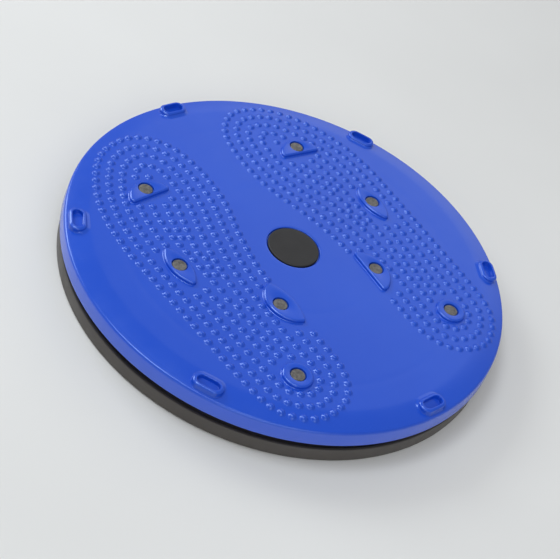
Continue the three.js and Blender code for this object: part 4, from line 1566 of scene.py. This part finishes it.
@dataclass
class Pivot:
    """The bolt and what is stacked on it."""

    bolt: float = 5.0
    bolt_middle: float = 0.02
    head_across: float = 16.0
    head_top: float = 35.2
    head_bottom: float = 28.8
    head_flat: float = 0.4
    crown: Pair = (0.1, 0.5)
    crown_side: float = 0.95
    fillet: float = 0.3
    end: float = 1.9
    end_taper: float = 0.7
    thread_top: float = 12.0
    thread_clear: float = 0.8
    thread_pitch: float = 1.5
    thread_depth: float = 0.55
    nut_across: float = 17.0
    nut_bore: float = 5.4
    nut_top: float = 10.1
    nut_bottom: float = 2.7
    nut_chamfer: Pair = (0.3, 0.6)
    collar: float = 2.0
    collar_shoulder: float = 0.4
    collar_round: tuple[Pair, ...] = ((0.5, 0.6), (1.4, 0.0))
    points: int = 96
    head_washer: Washer = Washer(11, 26.5, 2)
    nut_washer: Washer = Washer(11, 10.4, 2)
    thrust_washer: Washer = Washer(16, 21.2, 1.5)

    def hexagon_reach(self, across: float) -> np.ndarray:
        """A hexagon's reach: the half width over the cosine of the angle from the nearest flat's middle.

        Args:
            across: Width over two flats.

        Returns:
            The distance from the middle for each of the points, a row for each.
        """
        sixth = TAU / 6
        off = (np.arange(self.points) * TAU / self.points) % sixth - sixth / 2
        return (across / 2 / np.cos(off))[:, None]

    def bolt_piece(self) -> Piece:
        """The hexagon bolt: a chamfered head on a shank with rolled thread ridges at its lower end.

        Returns:
            The bolt.
        """
        circle = compass(self.points)
        reach = self.hexagon_reach(self.head_across)
        half = self.head_across / 2
        crown_grow, crown_fall = self.crown
        crown = circle * np.minimum(reach, half + crown_grow)
        thread = []
        for height in np.arange(self.thread_top, self.end + self.thread_clear, -self.thread_pitch):
            thread += [(circle * self.bolt, height),
                       (circle * (self.bolt - self.thread_depth), height - self.thread_pitch / 2)]
        rings = [(circle * self.bolt_middle, self.head_top),
                 (circle * (half - self.head_flat), self.head_top),
                 (crown, self.head_top - crown_fall), (circle * reach, self.head_top - self.crown_side),
                 (circle * reach, self.head_bottom), (circle * (self.bolt + self.fillet), self.head_bottom),
                 (circle * self.bolt, self.head_bottom - self.fillet), *thread,
                 (circle * (self.bolt - self.end_taper), self.end), (circle * self.bolt_middle, self.end)]
        return surface("hex_bolt", layered(rings), smooth_deg=28)

    def nut_piece(self) -> Piece:
        """The lock nut: a hexagon that narrows to a round collar, with its bore open.

        Returns:
            The nut.
        """
        circle = compass(self.points)
        hexagon = circle * self.hexagon_reach(self.nut_across)
        half = self.nut_across / 2
        inset, fall = self.nut_chamfer
        knee = self.nut_bottom + self.collar
        rings = [(circle * self.nut_bore, self.nut_top), (circle * (half - inset), self.nut_top),
                 (hexagon, self.nut_top - fall), (hexagon, knee + self.collar_shoulder),
                 (circle * (half - inset), knee),
                 *[(circle * (half - run), self.nut_bottom + rise) for run, rise in self.collar_round],
                 (circle * self.nut_bore, self.nut_bottom)]
        return surface("nut_body", layered(rings), smooth_deg=28, along=True)

    def make(self) -> None:
        """Builds and dresses the pivot's pieces."""
        steel, nylon = BOLT_STEEL.build(), WASHER_NYLON.build()
        place(self.bolt_piece(), Body.BASE, "bolt_steel", steel, "pivot_bolt")
        place(self.nut_piece(), Body.BASE, "bolt_steel", steel, "lock_nut")
        place(self.head_washer.piece("washer_head"), Body.BASE, "bolt_steel", steel, "head_washer")
        place(self.nut_washer.piece("washer_nut"), Body.BASE, "bolt_steel", steel, "nut_washer")
        place(self.thrust_washer.piece("washer_thrust"), Body.BASE, "washer_plastic", nylon, "thrust_washer")


# Studio


@dataclass(frozen=True)
class Lamp:
    """A soft rectangular lamp that faces the disc: its place and sides in metres, and its power in watts."""

    name: str
    place: Triple
    size: Pair
    power: float
    colour: Triple = (0.87, 0.94, 1.0)

    def make(self) -> None:
        """Adds the lamp, with its first side level."""
        data = bpy.data.lights.new(self.name, "AREA")
        data.shape = "RECTANGLE"
        data.size, data.size_y = self.size
        data.energy = self.power
        data.color = self.colour
        lamp = bpy.data.objects.new(self.name, data)
        back = Vector(self.place).normalized()
        level = Vector((0, 0, 1)).cross(back).normalized()
        turn = Matrix((level, back.cross(level), back)).transposed().to_4x4()
        lamp.matrix_world = Matrix.Translation(self.place) @ turn
        bpy.context.scene.collection.objects.link(lamp)


@dataclass
class Studio:
    """The floor, the light and the camera."""

    azimuth_deg: float = -56.92
    elevation_deg: float = 41.51
    distance_mm: float = 1136.74
    roll_deg: float = 25.28
    focal_px: float = 1329.18
    target_mm: Pair = (32.9, -16.2)
    axis_px: Pair = (40.0, 1.2)
    image_width_px: int = 560
    sensor_mm: float = 36
    floor_shades: tuple[Shade, Shade] = ((222.81, 219.89, 215.02), (229, 226, 221))
    floor_reach_mm: float = 6000
    floor_points: int = 9
    floor_height_mm: float = -0.05
    floor_patches: Cloud = Cloud(2.2)
    floor_roughness: Pair = (0.82, 0.9)
    floor_grain: Cloud = Cloud(350, 4)
    floor_grain_mm: float = 0.1
    floor_grain_strength: float = 0.1
    floor_specular: float = 0.2
    sky_shade: Shade = (248, 250, 255)
    glow_azimuth_deg: float = 30.0
    glow_elevation_deg: float = 27.0
    glow_cosines: Pair = (0.905, 0.99)
    glow: Pair = (0.4, 1.05)
    lamps: tuple[Lamp, ...] = (
        Lamp("key_lamp", (-0.33, 1.87, 1.15), (1.2, 0.75), 20),
        Lamp("high_lamp", (-0.484, 0.576, 2.067), (0.7, 0.7), 10),
        Lamp("top_lamp", (-0.61, -0.05, 2.4), (2.0, 0.42), 10),
        Lamp("near_lamp", (-1.2, -1.72, 1.36), (1.8, 1.0), 12),
    )

    def camera(self) -> None:
        """A camera at the photograph's place: it looks back along its bearing, then rolls about its axis."""
        bearing, lift, roll = map(math.radians, (self.azimuth_deg, self.elevation_deg, self.roll_deg))
        level = math.cos(lift)
        back = Vector((math.sin(bearing) * level, -math.cos(bearing) * level, math.sin(lift)))
        right = (-back).cross(Vector((0, 0, 1))).normalized()
        up = right.cross(-back)
        across = math.cos(roll) * right + math.sin(roll) * up
        above = -math.sin(roll) * right + math.cos(roll) * up
        data = bpy.data.cameras.new("photo_camera")
        data.sensor_width = self.sensor_mm
        data.lens = self.focal_px * self.sensor_mm / self.image_width_px
        data.shift_x = -self.axis_px[0] / self.image_width_px
        data.shift_y = self.axis_px[1] / self.image_width_px
        camera = bpy.data.objects.new("photo_camera", data)
        turn = Matrix((across, above, back)).transposed().to_4x4()
        target = Vector((*self.target_mm, 0)) * MM
        camera.matrix_world = Matrix.Translation(target + back * self.distance_mm * MM) @ turn
        bpy.context.scene.collection.objects.link(camera)
        bpy.context.scene.camera = camera

    def floor(self) -> None:
        """A wide plain floor, sampled as a coarse level grid just under the feet."""
        reach = np.linspace(-self.floor_reach_mm, self.floor_reach_mm, self.floor_points)
        x, y = np.meshgrid(reach, reach, indexing="ij")
        skin = Skin("studio_floor")
        skin.grid(np.stack([x, y, np.full(x.shape, self.floor_height_mm)], axis=-1), across=False)
        piece = skin.mesh(smooth_deg=32)
        sketch = Sketch("studio_floor")
        cloud = sketch.noise(self.floor_patches)
        colour = sketch.ramp(cloud, MIDDLE, [*self.floor_shades])
        roughness = sketch.span(cloud, given=self.floor_roughness)
        grain = sketch.relief(sketch.noise(self.floor_grain), self.floor_grain_mm, self.floor_grain_strength)
        sketch.dress(colour, roughness, grain)
        sketch.set("Specular IOR Level", self.floor_specular)
        piece.data.materials.append(sketch.material)

    def world(self) -> None:
        """A pale surround with a soft glow low on the far side.

        The strength rises smoothly from its low to its high value with the cosine of the angle between a
        direction and the glow's middle.
        """
        world = bpy.data.worlds.new("studio_world")
        world.use_nodes = True
        tree = world.node_tree
        shade = tree.nodes["Background"]
        direction = tree.nodes.new("ShaderNodeTexCoord")
        facing = tree.nodes.new("ShaderNodeVectorMath")
        facing.operation = "DOT_PRODUCT"
        bearing, lift = math.radians(self.glow_azimuth_deg), math.radians(self.glow_elevation_deg)
        middle = (math.cos(bearing) * math.cos(lift), math.sin(bearing) * math.cos(lift), math.sin(lift))
        facing.inputs[1].default_value = middle
        rise = tree.nodes.new("ShaderNodeMapRange")
        rise.interpolation_type = "SMOOTHSTEP"
        values = (*self.glow_cosines, *self.glow)
        for name, value in zip(("From Min", "From Max", "To Min", "To Max"), values):
            rise.inputs[name].default_value = value
        tree.links.new(direction.outputs["Generated"], facing.inputs[0])
        tree.links.new(facing.outputs["Value"], rise.inputs["Value"])
        tree.links.new(rise.outputs["Result"], shade.inputs["Strength"])
        shade.inputs["Color"].default_value = linear(self.sky_shade)
        bpy.context.scene.world = world

    def make(self) -> None:
        """Sets the stage."""
        self.camera()
        self.floor()
        self.world()
        for lamp in self.lamps:
            lamp.make()
        bpy.context.scene.view_settings.view_transform = "Standard"


def main() -> None:
    logging.basicConfig(level=logging.INFO, format="%(name)s: %(message)s")
    Studio().make()
    Base().make()
    Bearing().make()
    Pivot().make()
    Deck().make()


if __name__ == "__main__":
    main()
